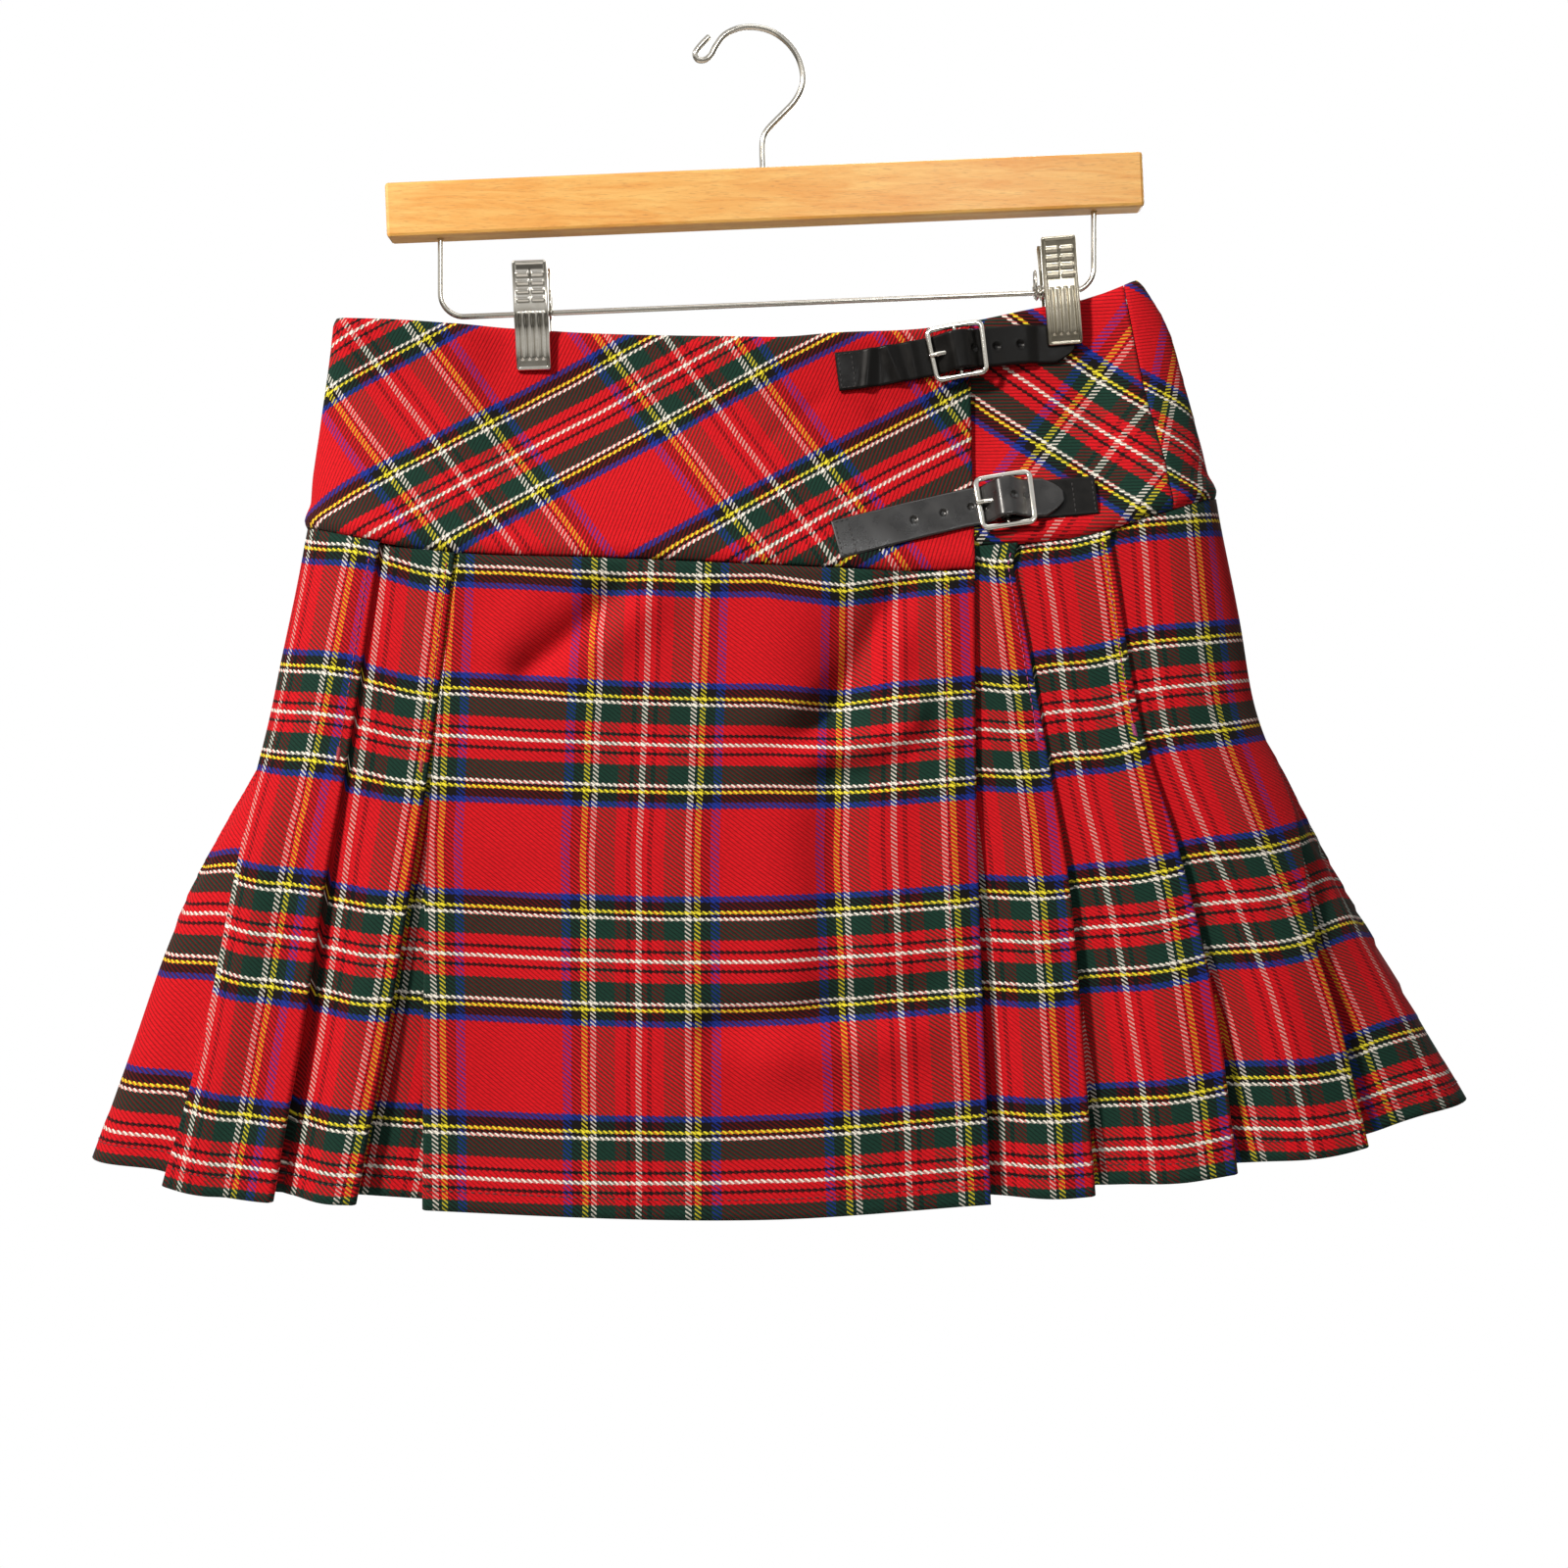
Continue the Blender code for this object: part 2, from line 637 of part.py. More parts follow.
def stripMesh(name, track, profile, widths, thickness):
    # Leather strip: a folded middle line of run and height, given its thickness and width
    upper, lower = [], []
    count = len(profile)
    for j, (run, out) in enumerate(profile):
        before = Vector(profile[max(j - 1, 0)])
        after = Vector(profile[min(j + 1, count - 1)])
        here = Vector((run, out))
        first = here - before if j else after - here
        second = after - here if j < count - 1 else here - before
        first.normalize()
        second.normalize()
        tangent = (first + second).normalized()
        reach = thickness / 2 / max(tangent.dot(second), 0.6)
        side = Vector((-tangent.y, tangent.x)) * reach
        upper.append(here + side)
        lower.append(here - side)
    points = []
    across = (-0.5, 0.0, 0.5)
    for line in (upper, lower):
        for j, spot in enumerate(line):
            for share in across:
                points.append(track.point(spot.x, share * widths[j], spot.y))
    wide = len(across)
    half = count * wide
    faces = []
    for i in range(count - 1):
        for j in range(wide - 1):
            a = i * wide + j
            faces.append((a, a + 1, a + 1 + wide, a + wide))
            faces.append((half + a + 1, half + a, half + a + wide, half + a + 1 + wide))
    for j in range(wide - 1):
        low = (count - 1) * wide + j
        faces.append((j + 1, j, half + j, half + j + 1))
        faces.append((low, low + 1, half + low + 1, half + low))
    for i in range(count - 1):
        a, b = i * wide, (i + 1) * wide
        faces.append((a, b, half + b, half + a))
        faces.append((b + wide - 1, a + wide - 1, half + a + wide - 1, half + b + wide - 1))
    return meshFrom(name, points, faces)


def densify(profile, step):
    points = [profile[0]]
    for first, second in zip(profile[:-1], profile[1:]):
        count = max(int(math.hypot(second[0] - first[0], second[1] - first[1]) / step), 1)
        for k in range(1, count + 1):
            t = k / count
            points.append((first[0] + (second[0] - first[0]) * t, first[1] + (second[1] - first[1]) * t))
    return points


def cut(thing, cutter):
    step = thing.modifiers.new("cut", "BOOLEAN")
    step.operation = "DIFFERENCE"
    step.solver = "EXACT"
    step.object = cutter
    applied = bpy.data.meshes.new_from_object(thing.evaluated_get(bpy.context.evaluated_depsgraph_get()))
    thing.modifiers.clear()
    thing.data = applied
    bpy.data.objects.remove(cutter, do_unlink=True)


def boxBetween(name, corners):
    # Closed block from eight corner points, lower ring then upper ring
    faces = [(0, 1, 2, 3), (7, 6, 5, 4), (0, 4, 5, 1), (1, 5, 6, 2), (2, 6, 7, 3), (3, 7, 4, 0)]
    mesh = meshFrom(name, corners, faces)
    cutter = bpy.data.objects.new(name, mesh)
    bpy.context.scene.collection.objects.link(cutter)
    cutter.hide_render = True
    cutter.display_type = "WIRE"
    return cutter


def makeClosure(key):
    track = Track(TRACKS[key])
    table = TRACKS[key]
    lay = SEAM_GAP + LEATHER_WALL / 2
    centre = track.runOf(table["buckle"])
    leftBar = centre - BUCKLE_LENGTH / 2 + BUCKLE_BAR / 2
    rightBar = centre + BUCKLE_LENGTH / 2 - BUCKLE_BAR / 2
    rise = BUCKLE_RISE
    middle = math.hypot(BUCKLE_MIDDLE, BUCKLE_THICK) / 2
    loop = middle + SEAM_GAP * 0.8 + LEATHER_WALL / 2
    crest = rise["middle"] + loop + LEATHER_WALL + SEAM_GAP
    under = rise["right"] - BUCKLE_THICK / 2 - SEAM_GAP - LEATHER_WALL / 2
    tabTop = lay + LEATHER_WALL + SEAM_GAP

    sewn = track.runOf(table["sewn"])
    tip = track.runOf(table["tip"])
    tabEnd = track.runOf(table["tab_end"])
    strap = [(sewn, lay), (leftBar + 2.0, lay), (centre - 4.8, crest - 2.6), (centre - 2.6, crest),
             (centre + 3.0, crest), (centre + 5.4, crest - 2.2), (rightBar - 3.2, under),
             (rightBar + 2.0, under)]
    if tip > tabEnd:
        strap += [(tabEnd + 1.2, tabTop), (tabEnd + 5.0, lay), (tip, lay)]
    else:
        strap += [(rightBar + 6.0, tabTop), (tip, tabTop)]
    line = densify(strap, 7.0)
    widths = [STRAP_WIDTH * min(1.0, 0.42 + 0.58 * (tip - run) / TIP_POINT) for run, _ in line]
    strapThing = addObject("strap_" + key, stripMesh("strap_" + key, track, line, widths, LEATHER_WALL),
                           "black_leather", False)

    tab = [(tabEnd, lay), (centre + 9.0, lay), (centre + 4.0, rise["middle"] - loop)]
    turns = 7
    for k in range(turns + 1):
        angle = -math.pi / 2 - math.pi * k / turns
        tab.append((centre + loop * math.cos(angle), rise["middle"] + loop * math.sin(angle)))
    tab.append((centre + 1.2, rise["middle"] + loop))
    tabThing = addObject("buckle_tab_" + key,
                         stripMesh("buckle_tab_" + key, track, tab, [STRAP_WIDTH] * len(tab), LEATHER_WALL),
                         "black_leather", False)
    makeBuckle(key, track, centre)

    shank = PRONG_THICK / 2 + SEAM_GAP * 0.8 + middle
    rest = rise["left"] + BUCKLE_THICK / 2 + SEAM_GAP + PRONG_THICK / 2
    prong = [(leftBar - 1.4, rest), (leftBar + 2.6, rest), (centre - 4.2, rise["middle"] + 0.6)]
    for k in range(turns + 1):
        angle = math.pi * 0.86 - math.pi * 1.55 * k / turns
        prong.append((centre + shank * math.cos(angle), rise["middle"] + shank * math.sin(angle)))
    addObject("prong_" + key, stripMesh("prong_" + key, track, prong, [PRONG_WIDTH] * len(prong), PRONG_THICK),
              "bright_nickel", False)

    slot = PRONG_WIDTH / 2 + 0.4
    corners = []
    for out in (rise["middle"] - 2.0 * loop, rise["middle"] + loop + 1.2):
        for run, across in ((centre - 5.0, -slot), (centre + 2.4, -slot), (centre + 2.4, slot), (centre - 5.0, slot)):
            corners.append(track.point(run, across, out))
    cut(tabThing, boxBetween("slot", corners))
    hole = STRAP_HOLE / 2
    corners = []
    for out in (rest - 1.6, rest + 1.6):
        for run, across in ((leftBar + 2.6, -hole), (centre - 3.4, -hole), (centre - 3.4, hole), (leftBar + 2.6, hole)):
            corners.append(track.point(run, across, out))
    cut(strapThing, boxBetween("hole", corners))


def makeBuckle(key, track, centre):
    # Frame with a middle bar: a grid of cells, its two windows left open, outer corners drawn in
    half = BUCKLE_LENGTH / 2
    tall = BUCKLE_HEIGHT / 2
    bar = BUCKLE_BAR
    runs = [-half, -half + bar, -BUCKLE_MIDDLE / 2, BUCKLE_MIDDLE / 2, half - bar, half]
    acrosses = [-tall, -tall + bar, 0.0, tall - bar, tall]
    levels = [BUCKLE_RISE["left"], BUCKLE_RISE["middle"], BUCKLE_RISE["right"]]
    points = []
    for out in (-BUCKLE_THICK / 2, BUCKLE_THICK / 2):
        for run in runs:
            for across in acrosses:
                drawn = 1.0
                if abs(run) == half and abs(across) == tall:
                    drawn = 1.0 - BUCKLE_CORNER * 0.3 / half
                level = np.interp(run, [-half + bar / 2, 0.0, half - bar / 2], levels)
                points.append(track.point(centre + run * drawn, across * drawn, level + out))
    rows, cols = len(runs), len(acrosses)
    size = rows * cols
    windows = {(i, j) for i in (1, 3) for j in (1, 2)}
    solid = {(i, j) for i in range(rows - 1) for j in range(cols - 1)} - windows
    faces = []
    for i, j in solid:
        ring = [i * cols + j, (i + 1) * cols + j, (i + 1) * cols + j + 1, i * cols + j + 1]
        faces.append(tuple(ring))
        faces.append(tuple(size + k for k in reversed(ring)))
        for (di, dj), (a, b) in (((0, -1), (0, 1)), ((1, 0), (1, 2)), ((0, 1), (2, 3)), ((-1, 0), (3, 0))):
            if (i + di, j + dj) not in solid:
                faces.append((ring[b], ring[a], size + ring[a], size + ring[b]))
    addObject("buckle_" + key, meshFrom("buckle_" + key, points, faces), "bright_nickel", False)


def rodMesh(name, line, diameter, sides=10):
    # Round wire swept along points with a frame carried from one to the next
    points = [Vector(p) for p in line]
    rings = []
    side = Vector((0, 1, 0))
    for k, spot in enumerate(points):
        way = (points[min(k + 1, len(points) - 1)] - points[max(k - 1, 0)]).normalized()
        across = way.cross(side).normalized()
        rings.append([spot + (across * math.cos(a) + side * math.sin(a)) * diameter / 2
                      for a in (2 * math.pi * i / sides for i in range(sides))])
    corners = [p for ring in rings for p in ring]
    faces = [tuple(range(sides)), tuple(range(len(corners) - 1, len(corners) - sides - 1, -1))]
    for k in range(len(rings) - 1):
        for i in range(sides):
            a, b = k * sides + i, k * sides + (i + 1) % sides
            faces.append((a, b, b + sides, a + sides))
    return meshFrom(name, corners, faces)


def smoothLine(points, step):
    # Catmull-Rom curve through points in the XZ plane
    line = []
    for k in range(len(points) - 1):
        p0 = Vector(points[max(k - 1, 0)])
        p1 = Vector(points[k])
        p2 = Vector(points[k + 1])
        p3 = Vector(points[min(k + 2, len(points) - 1)])
        count = max(int((p2 - p1).length / step), 1)
        for i in range(count):
            t = i / count
            spot = 0.5 * ((2 * p1) + (p2 - p0) * t + (2 * p0 - 5 * p1 + 4 * p2 - p3) * t**2
                          + (3 * p1 - p0 - 3 * p2 + p3) * t**3)
            line.append((spot.x, 0.0, spot.y))
    line.append((points[-1][0], 0.0, points[-1][1]))
    return line


def barUnderside(x):
    slope = math.tan(math.radians(BAR_TILT))
    return BAR_CENTRE[2] - BAR_SIZE[2] / 2 / math.cos(math.radians(BAR_TILT)) + (x - BAR_CENTRE[0]) * slope


def trapezeLine():
    left, right = TRAPEZE["left"], TRAPEZE["right"]
    low = Vector((left, TRAPEZE["low_left"]))
    high = Vector((right, TRAPEZE["low_right"]))
    way = (high - low).normalized()
    radius = TRAPEZE["corner"]
    line = [(left, 0.0, barUnderside(left) + TRAPEZE["seated"])]
    lift = math.atan2(way.y, way.x)
    for corner, start, end in ((low, math.pi, 1.5 * math.pi + lift), (high, 1.5 * math.pi + lift, 2 * math.pi)):
        turn = end - start
        reach = radius * math.tan(turn / 2)
        upright = corner + Vector((0, reach))
        centre = upright + Vector((radius if corner is low else -radius, 0))
        for k in range(7):
            angle = start + turn * k / 6
            line.append((centre.x + radius * math.cos(angle), 0.0, centre.y + radius * math.sin(angle)))
    line.append((right, 0.0, barUnderside(right) + TRAPEZE["seated"]))
    return line


def wireHeight(x):
    share = (x - TRAPEZE["left"]) / (TRAPEZE["right"] - TRAPEZE["left"])
    return TRAPEZE["low_left"] + (TRAPEZE["low_right"] - TRAPEZE["low_left"]) * share


def cylinderCutter(name, centre, way, radius, length):
    ends = [Vector(centre) - Vector(way) * length / 2, Vector(centre) + Vector(way) * length / 2]
    mesh = rodMesh(name, [tuple(ends[0]), tuple(ends[1])], radius * 2, 16)
    cutter = bpy.data.objects.new(name, mesh)
    bpy.context.scene.collection.objects.link(cutter)
    cutter.hide_render = True
    cutter.display_type = "WIRE"
    return cutter


def makeHanger():
    mesh = bpy.data.meshes.new("hanger_bar")
    work = bmesh.new()
    bmesh.ops.create_cube(work, size=1.0)
    bmesh.ops.scale(work, vec=Vector(BAR_SIZE) * MM, verts=work.verts)
    bmesh.ops.bevel(work, geom=list(work.edges), offset=BAR_EDGE * MM, segments=2, profile=0.5,
                    affect="EDGES")
    turn = Matrix.Rotation(-math.radians(BAR_TILT), 4, "Y")
    bmesh.ops.transform(work, matrix=Matrix.Translation(Vector(BAR_CENTRE) * MM) @ turn, verts=work.verts)
    bmesh.ops.recalc_face_normals(work, faces=work.faces)
    work.to_mesh(mesh)
    work.free()
    bar = addObject("hanger_bar", mesh, "pale_beech", False)
    hook = smoothLine(HOOK_PATH, 3.4)
    addObject("hanger_hook", rodMesh("hanger_hook", hook, HOOK_WIRE), "bright_nickel")
    addObject("hanger_wire", rodMesh("hanger_wire", trapezeLine(), TRAPEZE_WIRE), "bright_nickel")
    stem = Vector(hook[-1]) - Vector(hook[-8])
    stem.normalize()
    foot = Vector(hook[-1]) - stem * (20.0 - BORE_CLEAR)
    cut(bar, cylinderCutter("stem_bore", foot, stem, HOOK_WIRE / 2 + BORE_CLEAR, 40.0))
    for x in (TRAPEZE["left"], TRAPEZE["right"]):
        middle = Vector((x, 0.0, barUnderside(x) + TRAPEZE["seated"] + BORE_CLEAR - 20.0))
        cut(bar, cylinderCutter("leg_bore", middle, (0, 0, 1), TRAPEZE_WIRE / 2 + BORE_CLEAR, 40.0))


def clipFrame(clip):
    # Local frame of a clip: across, outward and down, tilted in the plane of the wire
    angle = math.radians(clip["tilt"])
    down = Vector((math.sin(angle), 0.0, -math.cos(angle)))
    across = Vector((math.cos(angle), 0.0, math.sin(angle)))
    return across, down


def makePlate(clip, side):
    # Pressed plate with flanges: a channel section carried down the clip's bent side line
    across, down = clipFrame(clip)
    grip = clip["grip"] if side < 0 else 0.0
    jaw = PINCHED + YOKE_WALL / 2 + SEAM_GAP + grip
    hinge = (clip["top"] - wireHeight(clip["x"])) / math.cos(math.radians(clip["tilt"]))
    line = [
        {"down": 0.0, "out": CLIP_LEVER_OUT},
        {"down": hinge * 0.5, "out": CLIP_LEVER_OUT - 1.6},
        {"down": hinge, "out": SPRING_OUTER + SEAM_GAP + CLIP_FLANGE - 1.0},
        {"down": hinge + 8.0, "out": max(jaw + 2.4, SPRING_OUTER + 1.2)},
        {"down": CLIP_LENGTH - 6.0, "out": jaw + 1.7},
        {"down": CLIP_LENGTH, "out": jaw + 0.6},
    ]
    half = CLIP_WIDTH / 2
    metal = CLIP_METAL
    flange = [0.6, CLIP_FLANGE * 0.9, CLIP_FLANGE * 0.7, 2.0, 1.2, 0.6]
    points = []
    for row, depth in zip(line, flange):
        centre = Vector((clip["x"], 0.0, clip["top"])) + down * row["down"]
        section = [(-half, -depth), (-half + metal, -depth), (-half + metal, 0.0), (half - metal, 0.0),
                   (half - metal, -depth), (half, -depth), (half, metal), (-half, metal)]
        for offset, out in section:
            spot = centre + across * offset
            spot.y = side * (row["out"] + out)
            points.append(spot)
    size = 8
    faces = []
    for k in range(len(line) - 1):
        for i in range(size):
            a, b = k * size + i, k * size + (i + 1) % size
            faces.append((a, b, b + size, a + size))
    last = (len(line) - 1) * size
    for ring in ((0, 1, 2, 7), (2, 3, 6, 7), (3, 4, 5, 6)):
        faces.append(ring)
        faces.append(tuple(last + i for i in reversed(ring)))
    name = clip["name"] + ("_front" if side < 0 else "_rear")
    addObject(name, meshFrom(name, points, faces), "bright_nickel", False)


def makeSpring(clip):
    # Coil round the wire between the plates, with the ear that shows at one side
    wire = Vector((TRAPEZE["right"] - TRAPEZE["left"], 0.0, TRAPEZE["low_right"] - TRAPEZE["low_left"]))
    wire.normalize()
    centre = Vector((clip["x"], 0.0, wireHeight(clip["x"])))
    half = CLIP_WIDTH / 2 - CLIP_METAL - 1.0
    reach = CLIP_WIDTH / 2 + 2.0
    ends = (-half, reach) if clip["ear"] > 0 else (-reach, half)
    line = [tuple(centre + wire * ends[0]), tuple(centre + wire * ends[1])]
    spring = addObject(clip["name"] + "_spring", rodMesh("spring", line, SPRING_OUTER * 2, 14),
                       "bright_nickel", False)
    thick, deep, tall = EAR_SIZE
    start = clip["ear"] * (CLIP_WIDTH / 2 + 0.6)
    corners = []
    for low in (-deep / 2, deep / 2):
        for run, up in ((0.0, -3.0), (1.0, -3.0), (1.0, tall - 3.0), (0.0, tall - 3.0)):
            spot = centre + wire * (start + clip["ear"] * thick * run)
            corners.append(Vector((spot.x, low, spot.z + up)))
    ear = boxBetween("ear", corners)
    step = spring.modifiers.new("join", "BOOLEAN")
    step.operation = "UNION"
    step.solver = "EXACT"
    step.object = ear
    joined = bpy.data.meshes.new_from_object(spring.evaluated_get(bpy.context.evaluated_depsgraph_get()))
    spring.modifiers.clear()
    spring.data = joined
    bpy.data.objects.remove(ear, do_unlink=True)
    cut(spring, cylinderCutter("wire_bore", centre, wire, TRAPEZE_WIRE / 2 + SEAM_GAP, 60.0))


def main():
    clearScene()
    form = Form()
    makeYoke(form)
    makeSkirt(form)
    for key in TRACKS:
        makeClosure(key)
    makeHanger()
    for clip in CLIPS:
        makePlate(clip, -1)
        makePlate(clip, 1)
        makeSpring(clip)


main()
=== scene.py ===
import json
import math

import bmesh
import bpy
import numpy as np
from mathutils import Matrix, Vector

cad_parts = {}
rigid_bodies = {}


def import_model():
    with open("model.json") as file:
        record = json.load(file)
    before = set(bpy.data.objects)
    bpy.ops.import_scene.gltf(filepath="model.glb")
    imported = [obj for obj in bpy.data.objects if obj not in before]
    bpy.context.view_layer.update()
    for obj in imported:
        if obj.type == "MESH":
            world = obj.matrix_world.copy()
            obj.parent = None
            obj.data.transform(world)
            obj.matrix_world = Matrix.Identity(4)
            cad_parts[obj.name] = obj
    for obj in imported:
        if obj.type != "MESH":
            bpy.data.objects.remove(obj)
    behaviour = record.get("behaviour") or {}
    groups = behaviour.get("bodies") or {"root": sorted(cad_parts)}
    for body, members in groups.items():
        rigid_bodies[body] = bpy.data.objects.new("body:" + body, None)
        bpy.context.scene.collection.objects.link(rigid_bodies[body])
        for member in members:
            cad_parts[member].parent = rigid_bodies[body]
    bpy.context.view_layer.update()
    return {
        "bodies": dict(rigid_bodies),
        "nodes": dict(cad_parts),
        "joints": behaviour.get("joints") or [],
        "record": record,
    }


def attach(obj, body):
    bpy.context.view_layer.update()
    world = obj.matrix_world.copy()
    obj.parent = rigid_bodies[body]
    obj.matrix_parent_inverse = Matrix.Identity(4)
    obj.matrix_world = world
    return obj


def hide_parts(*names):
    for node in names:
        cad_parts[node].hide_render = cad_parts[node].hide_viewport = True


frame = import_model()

# Every length in the tables and functions below is in millimetres, and meshes are written in
# metres. X is the viewer's right, Z up, and the front of the kilt faces -Y.
mm = 0.001


# Nodes, meshes and colours

def hexColour(text):
    # sRGB hex to linear: each channel is bent by the sRGB curve
    values = [int(text[i:i + 2], 16) / 255 for i in (1, 3, 5)]
    return tuple(v / 12.92 if v <= 0.04045 else ((v + 0.055) / 1.055) ** 2.4 for v in values) + (1.0,)


def addNode(tree, kind, settings=None, **links):
    # One node with its settings; i0, i1 and so on are sockets by number, other words by name, and
    # each gets a socket to link from or a plain value
    node = tree.nodes.new("ShaderNode" + kind)
    for key, value in (settings or {}).items():
        setattr(node, key, value)
    for key, value in links.items():
        numbered = key[0] == "i" and key[1:].isdigit()
        socket = node.inputs[int(key[1:]) if numbered else key.replace("_", " ")]
        if isinstance(value, bpy.types.NodeSocket):
            tree.links.new(value, socket)
        else:
            socket.default_value = value
    return node


def perMetre(size):
    # Scale of a pattern on Object coordinates whose features are size mm apart
    return 1000.0 / size


def newFinish(name):
    # A material with one Principled shader on its output
    finish = bpy.data.materials.new(name)
    finish.use_nodes = True
    tree = finish.node_tree
    tree.nodes.clear()
    shader = tree.nodes.new("ShaderNodeBsdfPrincipled")
    out = tree.nodes.new("ShaderNodeOutputMaterial")
    tree.links.new(shader.outputs[0], out.inputs[0])
    return finish, tree, shader


def addMesh(name, points, quads, finish, uv=None):
    # Points in mm; quads as rows of four indices; uv in metres of cloth, one pair a point
    mesh = bpy.data.meshes.new(name)
    count = len(quads)
    mesh.vertices.add(len(points))
    mesh.vertices.foreach_set("co", (np.asarray(points) * mm).astype(np.float32).ravel())
    mesh.loops.add(count * 4)
    mesh.loops.foreach_set("vertex_index", np.asarray(quads, np.int32).ravel())
    mesh.polygons.add(count)
    mesh.polygons.foreach_set("loop_start", np.arange(0, count * 4, 4, dtype=np.int32))
    mesh.polygons.foreach_set("loop_total", np.full(count, 4, np.int32))
    mesh.polygons.foreach_set("use_smooth", np.full(count, True))
    mesh.update(calc_edges=True)
    mesh.validate()
    if uv is not None:
        layer = mesh.uv_layers.new(name="weave")
        layer.data.foreach_set("uv", np.asarray(uv, np.float32)[np.asarray(quads).ravel()].ravel())
    mesh.materials.append(finish)
    thing = bpy.data.objects.new(name, mesh)
    bpy.context.scene.collection.objects.link(thing)
    return thing


def gridQuads(rows, columns, closeColumns=False, start=0):
    # Quads of a rows by columns grid of points, joined round when it is a tube
    i = np.arange(rows - 1)[:, None]
    j = np.arange(columns if closeColumns else columns - 1)[None, :]
    k = (j + 1) % columns
    corners = [i * columns + j, (i + 1) * columns + j, (i + 1) * columns + k, i * columns + k]
    shape = (rows - 1, j.shape[1])
    return np.stack([np.broadcast_to(c, shape) for c in corners], -1).reshape(-1, 4) + start


def shellQuads(rows, columns):
    # Quads of one grid, of a second grid behind it, and of the wall between their borders
    count = rows * columns
    front = gridQuads(rows, columns)
    index = np.arange(count).reshape(rows, columns)
    border = np.concatenate([index[0, :-1], index[:-1, -1], index[-1, :0:-1], index[:0:-1, 0]])
    after = np.roll(border, -1)
    wall = np.stack([border, after, after + count, border + count], -1)
    return np.concatenate([front, front[:, ::-1] + count, wall])


def gridNormals(points):
    # Cross product of the two grid directions, pointing out of the garment
    down = np.gradient(points, axis=0)
    along = np.gradient(points, axis=1)
    normal = np.cross(down, along)
    return normal / np.maximum(np.linalg.norm(normal, axis=-1, keepdims=True), 1e-9)


def clothShell(name, points, u, v, thickness, finish):
    # The grid moved out and in by half the cloth's thickness, closed along its four edges
    normal = gridNormals(points)
    outer = (points + normal * thickness / 2).reshape(-1, 3)
    inner = (points - normal * thickness / 2).reshape(-1, 3)
    weave = np.stack([u.ravel(), v.ravel()], -1) * mm
    return addMesh(name, np.concatenate([outer, inner]), shellQuads(*points.shape[:2]), finish,
                   np.concatenate([weave, weave]))


def tubeMesh(name, path, radius, finish, sides=20, side=(0.0, 1.0, 0.0), closed=False):
    # Circle of the radius carried along the path; the side vector sets where the ring starts. An
    # open tube ends in rings that shrink to almost nothing over half a radius, and a fan.
    path = np.asarray(path, float)
    way = np.roll(path, -1, 0) - np.roll(path, 1, 0) if closed else np.gradient(path, axis=0)
    way /= np.linalg.norm(way, axis=1, keepdims=True)
    across = np.cross(way, np.broadcast_to(side, way.shape))
    across /= np.linalg.norm(across, axis=1, keepdims=True)
    up = np.cross(across, way)
    turn = np.linspace(0, 2 * math.pi, sides, endpoint=False)[None, :, None]
    size = np.broadcast_to(np.asarray(radius, float), (len(path),))[:, None, None]
    ring = across[:, None, :] * np.cos(turn) + up[:, None, :] * np.sin(turn)
    points = path[:, None, :] + ring * size
    if closed:
        points = np.concatenate([points, points[:1]])
        return meshFromPolygons(name, points.reshape(-1, 3), gridQuads(len(points), sides, True), [], finish)
    quarter = np.linspace(0.0, math.pi / 2, 5)[1:]
    lift, shrink = np.sin(quarter), np.cos(quarter)
    shrink[-1] = 0.02
    first, last = size[0, 0, 0], size[-1, 0, 0]
    head = [path[0] - way[0] * first * 0.5 * l + ring[0] * first * s for l, s in zip(lift, shrink)][::-1]
    tail = [path[-1] + way[-1] * last * 0.5 * l + ring[-1] * last * s for l, s in zip(lift, shrink)]
    points = np.concatenate([np.array(head), points, np.array(tail)])
    rows = len(points)
    low = np.arange(sides)
    high = low + (rows - 1) * sides
    flat = points.reshape(-1, 3)
    flat = np.concatenate([flat, flat[low].mean(0)[None], flat[high].mean(0)[None]])
    middle = rows * sides
    fans = [(a, b, middle) for a, b in zip(low.tolist(), np.roll(low, -1).tolist())]
    fans += [(middle + 1, b, a) for a, b in zip(high.tolist(), np.roll(high, -1).tolist())]
    return meshFromPolygons(name, flat, gridQuads(rows, sides, True), fans, finish)


def meshFromPolygons(name, points, quads, others, finish):
    # Plain polygons through from_pydata, doubles merged and faces turned outward
    mesh = bpy.data.meshes.new(name)
    polygons = [tuple(quad) for quad in quads.tolist()] + list(others)
    mesh.from_pydata((np.asarray(points) * mm).tolist(), [], polygons)
    work = bmesh.new()
    work.from_mesh(mesh)
    bmesh.ops.remove_doubles(work, verts=work.verts, dist=1e-6)
    bmesh.ops.recalc_face_normals(work, faces=work.faces)
    work.to_mesh(mesh)
    work.free()
    mesh.polygons.foreach_set("use_smooth", np.full(len(mesh.polygons), True))
    mesh.materials.append(finish)
    thing = bpy.data.objects.new(name, mesh)
    bpy.context.scene.collection.objects.link(thing)
    return thing


def smoothStep(value):
    # 3 v2 - 2 v3 of the value held between 0 and 1
    value = np.clip(value, 0.0, 1.0)
    return value * value * (3.0 - 2.0 * value)


